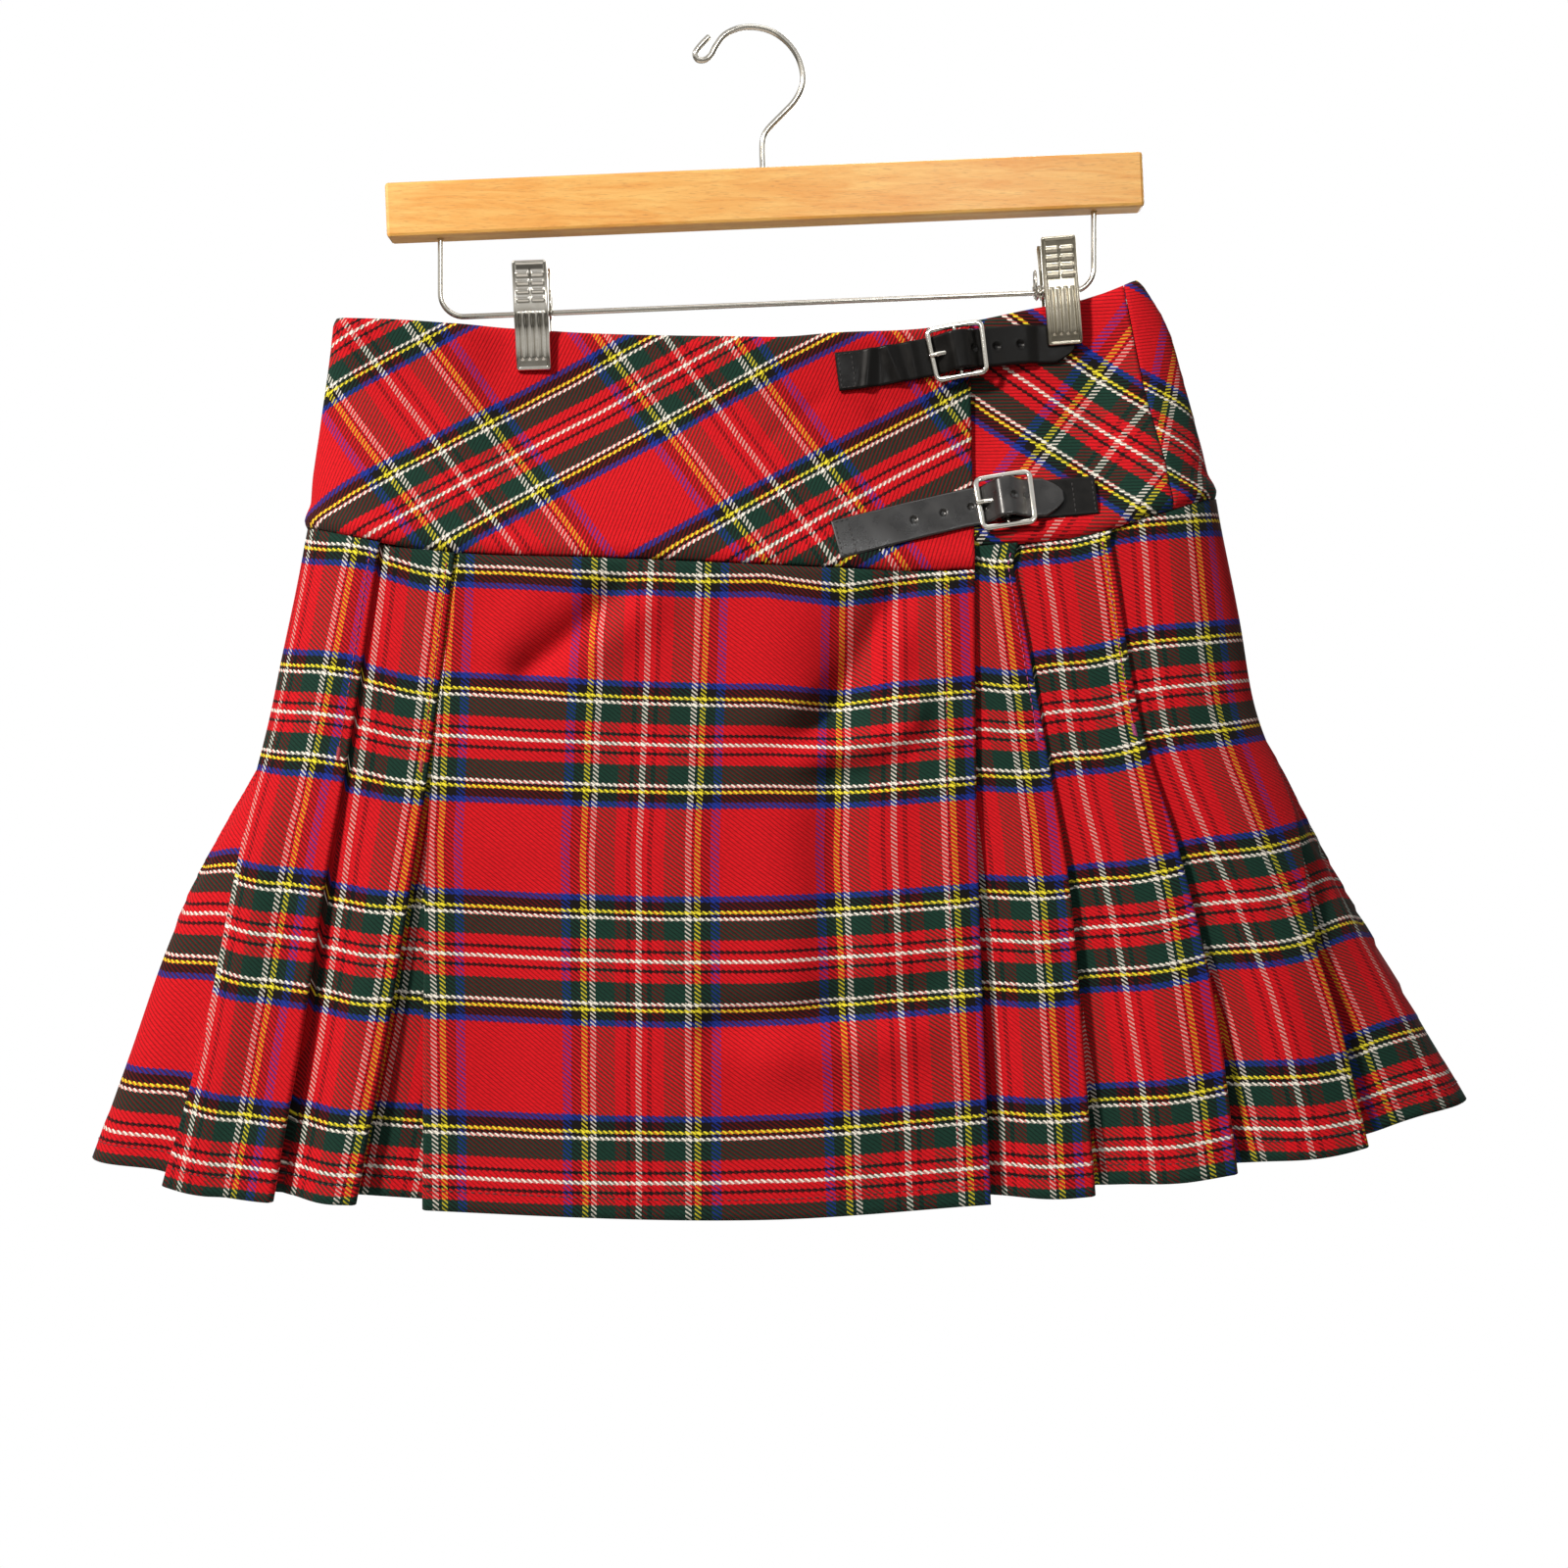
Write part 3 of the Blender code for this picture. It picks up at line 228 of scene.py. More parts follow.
def curveThrough(xs, ys, at):
    # Cubic through table points with slopes averaged from both sides
    xs = np.asarray(xs, float)
    ys = np.asarray(ys, float)
    slope = np.diff(ys) / np.diff(xs)
    tangent = np.empty(len(xs))
    tangent[1:-1] = (slope[1:] + slope[:-1]) / 2
    tangent[0], tangent[-1] = slope[0], slope[-1]
    at = np.clip(np.asarray(at, float), xs[0], xs[-1])
    k = np.clip(np.searchsorted(xs, at) - 1, 0, len(xs) - 2)
    width = xs[k + 1] - xs[k]
    t = (at - xs[k]) / width
    return ((2 * t**3 - 3 * t**2 + 1) * ys[k] + (t**3 - 2 * t**2 + t) * width * tangent[k]
            + (3 * t**2 - 2 * t**3) * ys[k + 1] + (t**3 - t**2) * width * tangent[k + 1])


def splineThrough(points, count):
    # Catmull-Rom: each span blends its two ends with slopes from their neighbours
    p = np.asarray(points, float)
    p = np.concatenate([p[:1], p, p[-1:]])
    t = np.linspace(0, 1, count, endpoint=False)[:, None]
    spans = [0.5 * (2 * b + (c - a) * t + (2 * a - 5 * b + 4 * c - d) * t**2 + (3 * b - a - 3 * c + d) * t**3)
             for a, b, c, d in zip(p[:-3], p[1:-2], p[2:-1], p[3:])]
    return np.concatenate(spans + [p[-1:]])


# The form that the cloth hangs in

# A level runs 0 at the waist edge, 1 at the yoke seam, 1.34 where the pleats open, 2 at the hem
heights = {
    "waistFront": ([-198, -168, -138, -105, -81, -5, 14, 38, 79, 117, 134, 152, 172, 181],
                   [-136.7, -137.6, -139.6, -141.4, -143, -146.3, -146.6, -144.6, -141.8, -134.4, -131, -128,
                    -121.8, -118]),
    "waistBack": ([-198, -105, 14, 117, 141, 181], [-136.7, -142.4, -148, -136.5, -131.5, -118]),
    "seamFront": ([-211, -172, -139, -73, -5, 32, 102, 130, 160, 193, 217],
                  [-235.3, -243.8, -248.6, -250.9, -253.7, -255.4, -256.4, -251, -243.4, -228.5, -221.3]),
    "seamUnder": ([20, 60, 104, 140, 160, 181, 193], [-247, -246.6, -245.4, -242.4, -239.3, -231.6, -228.5]),
    "seamBack": ([-211, -110, 0, 110, 217], [-235.3, -240.5, -238.5, -231.5, -221.3]),
    "hemFront": ([-311, -249, -217, -180, -149, 3, 107, 154, 215, 280, 313, 334],
                 [-527, -539, -541.5, -542.5, -544.6, -549, -542, -538.4, -529, -517, -505, -500]),
    "hemBack": ([-311, -150, 10, 170, 334], [-527, -536, -536, -525, -500]),
}
plan = {
    "level": [0.00, 0.18, 0.47, 0.73, 1.00, 1.20, 1.34, 1.45, 1.62, 1.83, 2.00],
    "left": [-198, -200, -204, -207.5, -211, -222.5, -232.5, -249, -272.5, -294, -311],
    "right": [181, 193, 202.5, 209.5, 217, 229.5, 237.5, 254, 277, 308.5, 334],
    "depth": [6.0, 9.0, 15.0, 19.5, 23.0, 25.5, 27.5, 30.0, 34.0, 39.0, 43.0],
    "round": [7, 13, 24, 32, 38, 42, 46, 56, 72, 92, 110],
}
waist = {"clipLeft": -104.1, "clipRight": 145.1, "clipHalf": 10.0, "pinched": 0.95, "between": 9.0,
         "beside": 4.6, "run": 26.0, "opensFrom": 0.2}
folds = {
    # x of each fold in front at the seam, the release, two places between, and the hem
    "level": [1.0, 1.34, 1.52, 1.76, 2.0],
    "roll": [-209.0, -230.0, -238.5, -251.5, -269.5],
    "leftOuter": [-172.7, -186.8, -195.5, -205.5, -217.7],
    "leftInner": [-138.2, -149.6, -157.0, -167.5, -180.0],
    "apron": [-136.0, -147.4, -149.6, -149.8, -148.8],
    "wrap": [101.6, 101.8, 102.6, 104.6, 107.0],
    "rightInner": [118.9, 135.4, 143.6, 149.2, 153.8],
    "rightMiddle": [163.6, 179.3, 194.2, 209.8, 218.0],
    "rightOuter": [207.0, 219.0, 238.0, 264.0, 279.0],
}
pleatShape = {"level": [0.90, 1.00, 1.34, 1.45, 1.70, 2.00], "tuck": [33, 33, 33, 32, 30, 28],
              "gap": [1.45, 1.45, 1.5, 2.0, 2.8, 3.4], "proud": [3.1, 3.1, 3.3, 5.0, 8.0, 10.5]}


def table(name, x):
    # Height of a named edge of the cloth over an x
    return curveThrough(*heights[name], x)


def column(name, level):
    # Side edge, depth or rounding of the plan at a level
    return curveThrough(plan["level"], plan[name], level)


def shapeOf(name, level):
    # Tuck, gap or rise of the pleats at a level
    return np.interp(level, pleatShape["level"], pleatShape[name])


def foldX(name, level):
    # x of a named fold in front at a level
    return curveThrough(folds["level"], folds[name], level)


def heightOf(x, level, back):
    # Waist to seam for levels 0 to 1, then seam to hem, by share; the back has its own edges
    def between(side):
        waistLine, seam, hem = (table(edge + side, x) for edge in ("waist", "seam", "hem"))
        return np.where(level <= 1, waistLine + (seam - waistLine) * level, seam + (hem - seam) * (level - 1))
    return np.where(back, between("Back"), between("Front"))


def levelOfHeight(x, z):
    # Share of the way down from the waist edge to the seam
    top = table("waistFront", x)
    return (top - z) / (top - table("seamFront", x))


def underSeam(x):
    # Level at which the right front's under yoke ends, a little above the main seam
    x = np.asarray(x, float)
    level = np.minimum(levelOfHeight(x, table("seamUnder", x)), 1.0)
    return np.where(x < heights["seamUnder"][0][-1], level, 1.0)


def waistBow(x):
    # Pressed flat at the clips, bowed between them and a little beside them
    left = waist["clipLeft"] + waist["clipHalf"]
    right = waist["clipRight"] - waist["clipHalf"]
    between = waist["between"] * np.sin(math.pi * np.clip((x - left) / (right - left), 0, 1)) ** 2
    beside = np.maximum(left - 2 * waist["clipHalf"] - x, x - right - 2 * waist["clipHalf"])
    return waist["pinched"] + between + waist["beside"] * smoothStep(beside / waist["run"])


def halfDepth(x, level):
    # Depth of the plan at a level, rounded off to nothing at each side by a quarter circle
    opening = smoothStep((level - waist["opensFrom"]) / (1 - waist["opensFrom"]))
    shape = waistBow(x) + (column("depth", level) - waistBow(x)) * opening
    edge = np.minimum(x - column("left", level), column("right", level) - x)
    side = np.clip(edge / column("round", level), 0, 1)
    return shape * np.sqrt(np.clip(1 - (1 - side) ** 2, 0, 1))


class HangingForm:
    # Loops of the cloth's middle face at many levels. A place runs 0 to 1 over the front from
    # left to right, and a run is the distance round the loop in mm, the back after the front.
    reach = 0.003  # share of the front over which its direction is read

    def __init__(self, levels=161, samples=401):
        self.levels = np.linspace(0, 2, levels)
        self.places = np.linspace(0, 1, samples)
        self.x = np.empty((levels, samples))
        self.y = np.empty((levels, samples))
        self.length = np.empty(levels)
        turn = np.linspace(0, math.pi, 2401)
        for k, level in enumerate(self.levels):
            left, right = column("left", level), column("right", level)
            x = (left + right) / 2 - (right - left) / 2 * np.cos(turn)
            y = -halfDepth(x, level)
            run = np.concatenate([[0.0], np.cumsum(np.hypot(np.diff(x), np.diff(y)))])
            self.length[k] = run[-1]
            self.x[k] = np.interp(self.places * run[-1], run, x)
            self.y[k] = np.interp(self.places * run[-1], run, y)

    def lengthAt(self, level):
        # Length of the front half of the loop
        return np.interp(level, self.levels, self.length)

    def at(self, place, level):
        # Bilinear reading of the loops, mirrored past either side edge
        flip = np.where((place < 0) | (place > 1), -1.0, 1.0)
        place = np.where(place < 0, -place, np.where(place > 1, 2 - place, place))
        a = np.clip(level / 2 * (len(self.levels) - 1), 0, len(self.levels) - 1.001)
        b = np.clip(place * (len(self.places) - 1), 0, len(self.places) - 1.001)
        i, j = a.astype(int), b.astype(int)
        s, t = a - i, b - j

        def read(grid):
            return (grid[i, j] * (1 - s) * (1 - t) + grid[i + 1, j] * s * (1 - t)
                    + grid[i, j + 1] * (1 - s) * t + grid[i + 1, j + 1] * s * t)
        return read(self.x), read(self.y) * flip

    def runOfX(self, x, level):
        # Distance along the front to an x, found by halving
        x, level = np.broadcast_arrays(np.asarray(x, float), np.asarray(level, float))
        low, high = np.zeros(x.shape), np.ones(x.shape)
        for _ in range(24):
            middle = (low + high) / 2
            right = self.at(middle, level)[0] < x
            low, high = np.where(right, middle, low), np.where(right, high, middle)
        return (low + high) / 2 * self.lengthAt(level)

    def point(self, run, level, inset):
        # Place at a run, moved into the garment at right angles to the loop by the inset
        run, level, inset = np.broadcast_arrays(run, level, inset)
        length = self.lengthAt(level)
        run = np.mod(run, 2 * length)
        back = run > length
        place = np.where(back, 2 * length - run, run) / length
        x, y = self.at(place, level)
        x0, y0 = self.at(place - self.reach, level)
        x1, y1 = self.at(place + self.reach, level)
        size = np.maximum(np.hypot(x1 - x0, y1 - y0), 1e-9)
        inX, inY = -(y1 - y0) / size, (x1 - x0) / size
        y = np.where(back, -y, y)
        inY = np.where(back, -inY, inY)
        return np.stack([x + inX * inset, y + inY * inset, heightOf(x, level, back)], -1)


form = HangingForm()
print("form measured")


# Finishes

tartan = {
    # Real sizes in mm: one repeat of the pattern across (warp stripes) and up (weft stripes)
    "warpRepeat": 116.3, "weftRepeat": 100.5,
    # A 2/2 twill of thick yarn: real ribs repeat every 1.9 mm across and 1.5 mm up, drawn a
    # little coarser so that they still show in a picture of the whole kilt
    "ribAcross": 2.7, "ribUp": 2.05,
    # Half a repeat from the middle of the red to the middle of the white line: colour, end
    "weft": [("red", 0.399), ("blue", 0.457), ("black", 0.538), ("yellow", 0.565), ("black", 0.597),
             ("white", 0.625), ("green", 0.801), ("red", 0.897), ("black", 0.924), ("red", 0.983),
             ("white", 1.0)],
    "warp": [("red", 0.376), ("blue", 0.448), ("black", 0.527), ("yellow", 0.573), ("black", 0.594),
             ("white", 0.643), ("green", 0.801), ("red", 0.897), ("black", 0.930), ("red", 0.976),
             ("white", 1.0)],
    # Share of each rib that the warp covers, and how soft its edge is
    "warpShare": 0.46, "ribEdge": 0.14,
    # Slow bends of the threads: spacing, and reach along warp and weft, in mm
    "bendSize": 26.3, "bend": (1.2, 1.0),
    # Uneven ribs, the depth of a stripe's toothed edge, and yarn tone along its two directions
    "jitterSize": 1.43, "jitter": 0.14, "teeth": 0.6, "yarnSize": 2.38,
    "red": "#D4101C", "blue": "#1B3192", "black": "#0E080A", "yellow": "#F6E636", "white": "#FAF4E8",
    "green": "#12352A",
}


def stripeRamp(tree, coordinate, repeat, stripes):
    # The coordinate folded to half a repeat, then hard bands of yarn colour
    halves = addNode(tree, "Math", {"operation": "MULTIPLY"}, i0=coordinate, i1=2000.0 / repeat)
    folded = addNode(tree, "Math", {"operation": "PINGPONG"}, i0=halves.outputs[0], i1=1.0)
    ramp = addNode(tree, "ValToRGB", Fac=folded.outputs[0])
    band = ramp.color_ramp
    band.interpolation = "CONSTANT"
    start = 0.0
    for k, (colour, end) in enumerate(stripes):
        stop = band.elements[k] if k < 2 else band.elements.new(start)
        stop.position = start
        stop.color = hexColour(tartan[colour])
        start = end
    return ramp.outputs[0]


def wovenTwill(name):
    # Wool-mix tartan twill: matt, weft-faced, with diagonal ribs and a faint fuzz. The weft's
    # stripes look solid; the warp's show through as slanting dashes, weakest over dark weft.
    finish, tree, shader = newFinish(name)
    weave = addNode(tree, "UVMap", {"uv_map": "weave"}).outputs[0]
    place = addNode(tree, "TexCoord").outputs["Object"]
    warpShare, edge = tartan["warpShare"], tartan["ribEdge"]

    # The cloth's own coordinates, bent a little so that no stripe is ruler straight
    bendX, bendY = (reach * mm for reach in tartan["bend"])
    drift = addNode(tree, "TexNoise", Vector=place, Scale=perMetre(tartan["bendSize"]), Detail=2.0)
    even = addNode(tree, "VectorMath", {"operation": "SUBTRACT"}, i0=weave, i1=(bendX / 2, bendY / 2, 0.0))
    bent = addNode(tree, "VectorMath", {"operation": "MULTIPLY_ADD"}, i0=drift.outputs["Color"],
                   i1=(bendX, bendY, 0.0), i2=even.outputs[0])
    axes = addNode(tree, "SeparateXYZ", Vector=bent.outputs[0])
    across, up = axes.outputs[0], axes.outputs[1]

    # Diagonal ribs: a folded sum of the two coordinates, which lets the warp show on each crest
    ribsAcross = addNode(tree, "Math", {"operation": "MULTIPLY"}, i0=across, i1=perMetre(tartan["ribAcross"]))
    slope = addNode(tree, "Math", {"operation": "MULTIPLY_ADD"}, i0=up, i1=perMetre(tartan["ribUp"]),
                    i2=ribsAcross.outputs[0])
    jitter = addNode(tree, "TexNoise", Vector=place, Scale=perMetre(tartan["jitterSize"]), Detail=1.0)
    loose = addNode(tree, "Math", {"operation": "MULTIPLY_ADD"}, i0=jitter.outputs["Fac"],
                    i1=tartan["jitter"], i2=slope.outputs[0])
    rib = addNode(tree, "Math", {"operation": "PINGPONG"}, i0=loose.outputs[0], i1=0.5)
    wave = addNode(tree, "Math", {"operation": "MULTIPLY"}, i0=rib.outputs[0], i1=2.0)
    onTop = addNode(tree, "MapRange", {"interpolation_type": "SMOOTHSTEP"}, Value=wave.outputs[0],
                    i1=1 - warpShare - edge, i2=1 - warpShare + edge)

    # Each rib bulges over its neighbours, so a weft line has a toothed edge
    teeth = addNode(tree, "Math", {"operation": "MULTIPLY_ADD"}, i0=wave.outputs[0],
                    i1=tartan["teeth"] * mm, i2=up)
    weft = stripeRamp(tree, teeth.outputs[0], tartan["weftRepeat"], tartan["weft"])
    warp = stripeRamp(tree, across, tartan["warpRepeat"], tartan["warp"])

    # A red warp all but vanishes over dark weft: its colour is scaled by
    # 1 - 1.2 (warp red - warp green) (1 - 1.5 weft red)
    clamped = {"operation": "MULTIPLY_ADD", "use_clamp": True}
    weftRed = addNode(tree, "SeparateColor", Color=weft).outputs[0]
    split = addNode(tree, "SeparateColor", Color=warp)
    redness = addNode(tree, "Math", {"operation": "SUBTRACT"}, i0=split.outputs[0], i1=split.outputs[1])
    dark = addNode(tree, "Math", clamped, i0=weftRed, i1=-1.5, i2=1.0)
    lost = addNode(tree, "Math", {"operation": "MULTIPLY"}, i0=redness.outputs[0], i1=dark.outputs[0])
    kept = addNode(tree, "Math", clamped, i0=lost.outputs[0], i1=-1.2, i2=1.0)
    shown = addNode(tree, "VectorMath", {"operation": "SCALE"}, i0=warp, Scale=kept.outputs[0])

    # A bright yarn sinks into red weft: the warp's share is 0.76 - 0.62 weft red x warp green
    glare = addNode(tree, "Math", {"operation": "MULTIPLY"}, i0=weftRed, i1=split.outputs[1])
    sunk = addNode(tree, "Math", clamped, i0=glare.outputs[0], i1=-0.62, i2=0.76)
    capped = addNode(tree, "Math", {"operation": "MULTIPLY"}, i0=onTop.outputs[0], i1=sunk.outputs[0])
    mixed = addNode(tree, "Mix", {"data_type": "RGBA"}, i0=capped.outputs[0], i6=weft, i7=shown.outputs[0])

    # Single yarns differ a little in tone, and at the foot of each rib the yarn sinks into shade
    stretched = addNode(tree, "VectorMath", {"operation": "MULTIPLY"}, i0=weave, i1=(1.0, 3.0, 1.0))
    yarn = addNode(tree, "TexNoise", Vector=stretched.outputs[0], Scale=perMetre(tartan["yarnSize"]),
                   Detail=3.0, Roughness=0.7)
    tone = addNode(tree, "MapRange", Value=yarn.outputs["Fac"], i1=0.3, i2=0.7, i3=0.82, i4=1.18)
    part = addNode(tree, "Math", {"operation": "FRACT"}, i0=loose.outputs[0])
    fromDip = addNode(tree, "Math", {"operation": "SUBTRACT"}, i0=part.outputs[0], i1=(1 - warpShare) / 2)
    away = addNode(tree, "Math", {"operation": "ABSOLUTE"}, i0=fromDip.outputs[0])
    groove = addNode(tree, "MapRange", {"interpolation_type": "SMOOTHSTEP"}, Value=away.outputs[0],
                     i1=0.0, i2=0.24, i3=0.36, i4=1.07)
    both = addNode(tree, "Math", {"operation": "MULTIPLY"}, i0=tone.outputs[0], i1=groove.outputs[0])
    toned = addNode(tree, "VectorMath", {"operation": "SCALE"}, i0=mixed.outputs["Result"],
                    Scale=both.outputs[0])
    relief = addNode(tree, "Math", {"operation": "MULTIPLY_ADD"}, i0=yarn.outputs["Fac"], i1=0.35,
                     i2=groove.outputs[0])
    bump = addNode(tree, "Bump", Strength=0.5, Distance=0.2 * mm, Height=relief.outputs[0])
    tree.links.new(toned.outputs[0], shader.inputs["Base Color"])
    tree.links.new(bump.outputs[0], shader.inputs["Normal"])
    shader.inputs["Roughness"].default_value = 0.85
    shader.inputs["Specular IOR Level"].default_value = 0.18
    shader.inputs["Sheen Weight"].default_value = 0.05
    shader.inputs["Sheen Roughness"].default_value = 0.5
    return finish


def smoothLeather(name, colour, gloss, scuff, shine):
    # Coated split leather: near black, semi-gloss, pores 0.67 mm apart and clouds of dull wear
    finish, tree, shader = newFinish(name)
    place = addNode(tree, "TexCoord").outputs["Object"]
    grain = addNode(tree, "TexVoronoi", {"feature": "DISTANCE_TO_EDGE"}, Vector=place, Scale=perMetre(0.667))
    cloud = addNode(tree, "TexNoise", Vector=place, Scale=perMetre(8.33), Detail=4.0, Roughness=0.6)
    dull = addNode(tree, "MapRange", Value=cloud.outputs["Fac"], i1=0.35, i2=0.7, i3=gloss, i4=gloss + 0.2)
    hue = addNode(tree, "MapRange", Value=cloud.outputs["Fac"], i1=0.45, i2=0.8, i3=0.0, i4=scuff)
    worn = addNode(tree, "Mix", {"data_type": "RGBA"}, i0=hue.outputs[0], i6=hexColour(colour),
                   i7=hexColour("#4A4542"))
    height = addNode(tree, "Math", {"operation": "MULTIPLY_ADD"}, i0=grain.outputs["Distance"], i1=0.5,
                     i2=cloud.outputs["Fac"])
    bump = addNode(tree, "Bump", Strength=0.25, Distance=0.2 * mm, Height=height.outputs[0])
    tree.links.new(worn.outputs["Result"], shader.inputs["Base Color"])
    tree.links.new(dull.outputs[0], shader.inputs["Roughness"])
    tree.links.new(bump.outputs[0], shader.inputs["Normal"])
    shader.inputs["Specular IOR Level"].default_value = shine
    return finish


def nickelPlate(name, colour, low, high, scratch):
    # Barrel-polished nickel on pressed steel: mirror bright, haze in spots of 6 mm and fine
    # scratches 0.45 mm apart that run up the metal
    finish, tree, shader = newFinish(name)
    place = addNode(tree, "TexCoord").outputs["Object"]
    haze = addNode(tree, "TexNoise", Vector=place, Scale=perMetre(6.25), Detail=5.0, Roughness=0.65)
    drawn = addNode(tree, "Mapping", Vector=place, Scale=(1.0, 1.0, 0.05))
    lines = addNode(tree, "TexNoise", Vector=drawn.outputs[0], Scale=perMetre(0.4545), Detail=2.0)
    rough = addNode(tree, "MapRange", Value=haze.outputs["Fac"], i1=0.3, i2=0.75, i3=low, i4=high)
    tint = addNode(tree, "Mix", {"data_type": "RGBA"}, i0=haze.outputs["Fac"], i6=hexColour(colour),
                   i7=hexColour("#BFB9AC"))
    bump = addNode(tree, "Bump", Strength=scratch, Distance=0.1 * mm, Height=lines.outputs["Fac"])
    tree.links.new(tint.outputs["Result"], shader.inputs["Base Color"])
    tree.links.new(rough.outputs[0], shader.inputs["Roughness"])
    tree.links.new(bump.outputs[0], shader.inputs["Normal"])
    shader.inputs["Metallic"].default_value = 1.0
    return finish


def lacqueredBeech(name):
    # Beech under satin clear lacquer: pale orange-tan, soft grain 38 mm long and 4 mm wide along
    # the tilted bar, and short flecks 5 mm long
    finish, tree, shader = newFinish(name)
    place = addNode(tree, "TexCoord").outputs["Object"]
    tilt = (0.0, math.radians(2.37), 0.0)
    lay = addNode(tree, "Mapping", Vector=place, Scale=(1.0, 9.0, 9.0), Rotation=tilt)
    grain = addNode(tree, "TexNoise", Vector=lay.outputs[0], Scale=perMetre(38.46), Detail=6.0,
                    Roughness=0.62, Distortion=0.7)
    fleckLay = addNode(tree, "Mapping", Vector=place, Scale=(1.0, 14.0, 14.0))
    fleck = addNode(tree, "TexNoise", Vector=fleckLay.outputs[0], Scale=perMetre(4.762), Detail=2.0,
                    Roughness=0.5)
    pore = addNode(tree, "MapRange", Value=fleck.outputs["Fac"], i1=0.56, i2=0.72, i3=0.0, i4=0.55)
    board = addNode(tree, "ValToRGB", Fac=grain.outputs["Fac"])
    tones = ((0.30, "#E89C3E"), (0.72, "#F9C870"))
    for stop, (position, colour) in zip(board.color_ramp.elements, tones):
        stop.position = position
        stop.color = hexColour(colour)
    speckled = addNode(tree, "Mix", {"data_type": "RGBA"}, i0=pore.outputs[0], i6=board.outputs[0],
                       i7=hexColour("#C4823C"))
    bump = addNode(tree, "Bump", Strength=0.15, Distance=0.2 * mm, Height=grain.outputs["Fac"])
    tree.links.new(speckled.outputs["Result"], shader.inputs["Base Color"])
    tree.links.new(bump.outputs[0], shader.inputs["Normal"])
    shader.inputs["Roughness"].default_value = 0.42
    shader.inputs["Coat Weight"].default_value = 0.35
    shader.inputs["Coat Roughness"].default_value = 0.25
    return finish


def sewingThread(name, colour, bright):
    # Spun polyester thread: matt, a twist every 0.6 mm, with a painted highlight on the crown of each: noise
    # of that size mixes in a brighter tone
    finish, tree, shader = newFinish(name)
    place = addNode(tree, "TexCoord").outputs["Object"]
    twist = addNode(tree, "TexNoise", Vector=place, Scale=perMetre(0.625), Detail=1.0)
    tone = addNode(tree, "Mix", {"data_type": "RGBA"}, i0=twist.outputs["Fac"], i6=hexColour(colour),
                   i7=hexColour(bright))
    tree.links.new(tone.outputs["Result"], shader.inputs["Base Color"])
    shader.inputs["Roughness"].default_value = 0.6
    shader.inputs["Sheen Weight"].default_value = 0.2
    return finish


skirtTwill = wovenTwill("wool mix tartan twill, straight grain")
yokeTwill = wovenTwill("wool mix tartan twill, bias grain")
blackLeather = smoothLeather("coated black split leather", "#0A0908", 0.30, 0.05, 0.18)
# A copy of the same leather with a lighter base and more shine, for the lower strap: a painted highlight
litLeather = smoothLeather("coated black split leather, polished by the hand", "#0E0C0B", 0.24, 0.06,
                                0.75)
brightNickel = nickelPlate("polished nickel plate", "#E8E6E1", 0.06, 0.16, 0.04)
# The same nickel as the left clip's, given a darker olive colour and duller haze: a painted dark reflection
shadedNickel = nickelPlate("nickel plate, darker olive copy for painted dark reflection", "#A39B86", 0.14, 0.26, 0.06)
hookNickel = nickelPlate("nickel plated steel wire", "#D6D3CC", 0.10, 0.22, 0.06)
beech = lacqueredBeech("lacquered beech")
redThread = sewingThread("red polyester thread", "#8E1020", "#D23A4C")
pinkThread = sewingThread("magenta polyester thread", "#8A1F5A", "#D2569C")
blackThread = sewingThread("black bonded thread", "#0B0A0A", "#2A2626")
print("finishes made")


def stitchGroup(name, starts, ends, normals, radius, finish):
    # Each stitch is one small six-sided bead drawn from start to end, bowed out in its middle
    starts, ends, normals = (np.asarray(v, float) for v in (starts, ends, normals))
    sides, t = 6, np.array([0.0, 0.12, 0.5, 0.88, 1.0])
    size = np.array([0.15, 0.8, 1.0, 0.8, 0.15]) * radius
    rise = np.array([-0.5, 0.25, 0.7, 0.25, -0.5]) * radius
    way = ends - starts
    way /= np.linalg.norm(way, axis=1, keepdims=True)
    across = np.cross(way, normals)
    across /= np.linalg.norm(across, axis=1, keepdims=True)
    turn = np.linspace(0, 2 * math.pi, sides, endpoint=False)
    middle = (starts[:, None] + (ends - starts)[:, None] * t[None, :, None]
              + normals[:, None] * rise[None, :, None])
    ring = (across[:, None, None] * np.cos(turn)[None, None, :, None]
            + normals[:, None, None] * np.sin(turn)[None, None, :, None]) * size[None, :, None, None]
    points = (middle[:, :, None] + ring).reshape(-1, 3)
    # Two quads close each end of a bead
    caps = np.array([[0, 1, 2, 3], [0, 3, 4, 5], [27, 26, 25, 24], [29, 28, 27, 24]])
    first = (np.arange(len(starts)) * len(t) * sides)[:, None, None]
    body = (gridQuads(len(t), sides, True)[None] + first).reshape(-1, 4)
    quads = np.concatenate([body, (caps[None] + first).reshape(-1, 4)])
    return addMesh(name, points, quads[:, ::-1], finish)


# Skirt

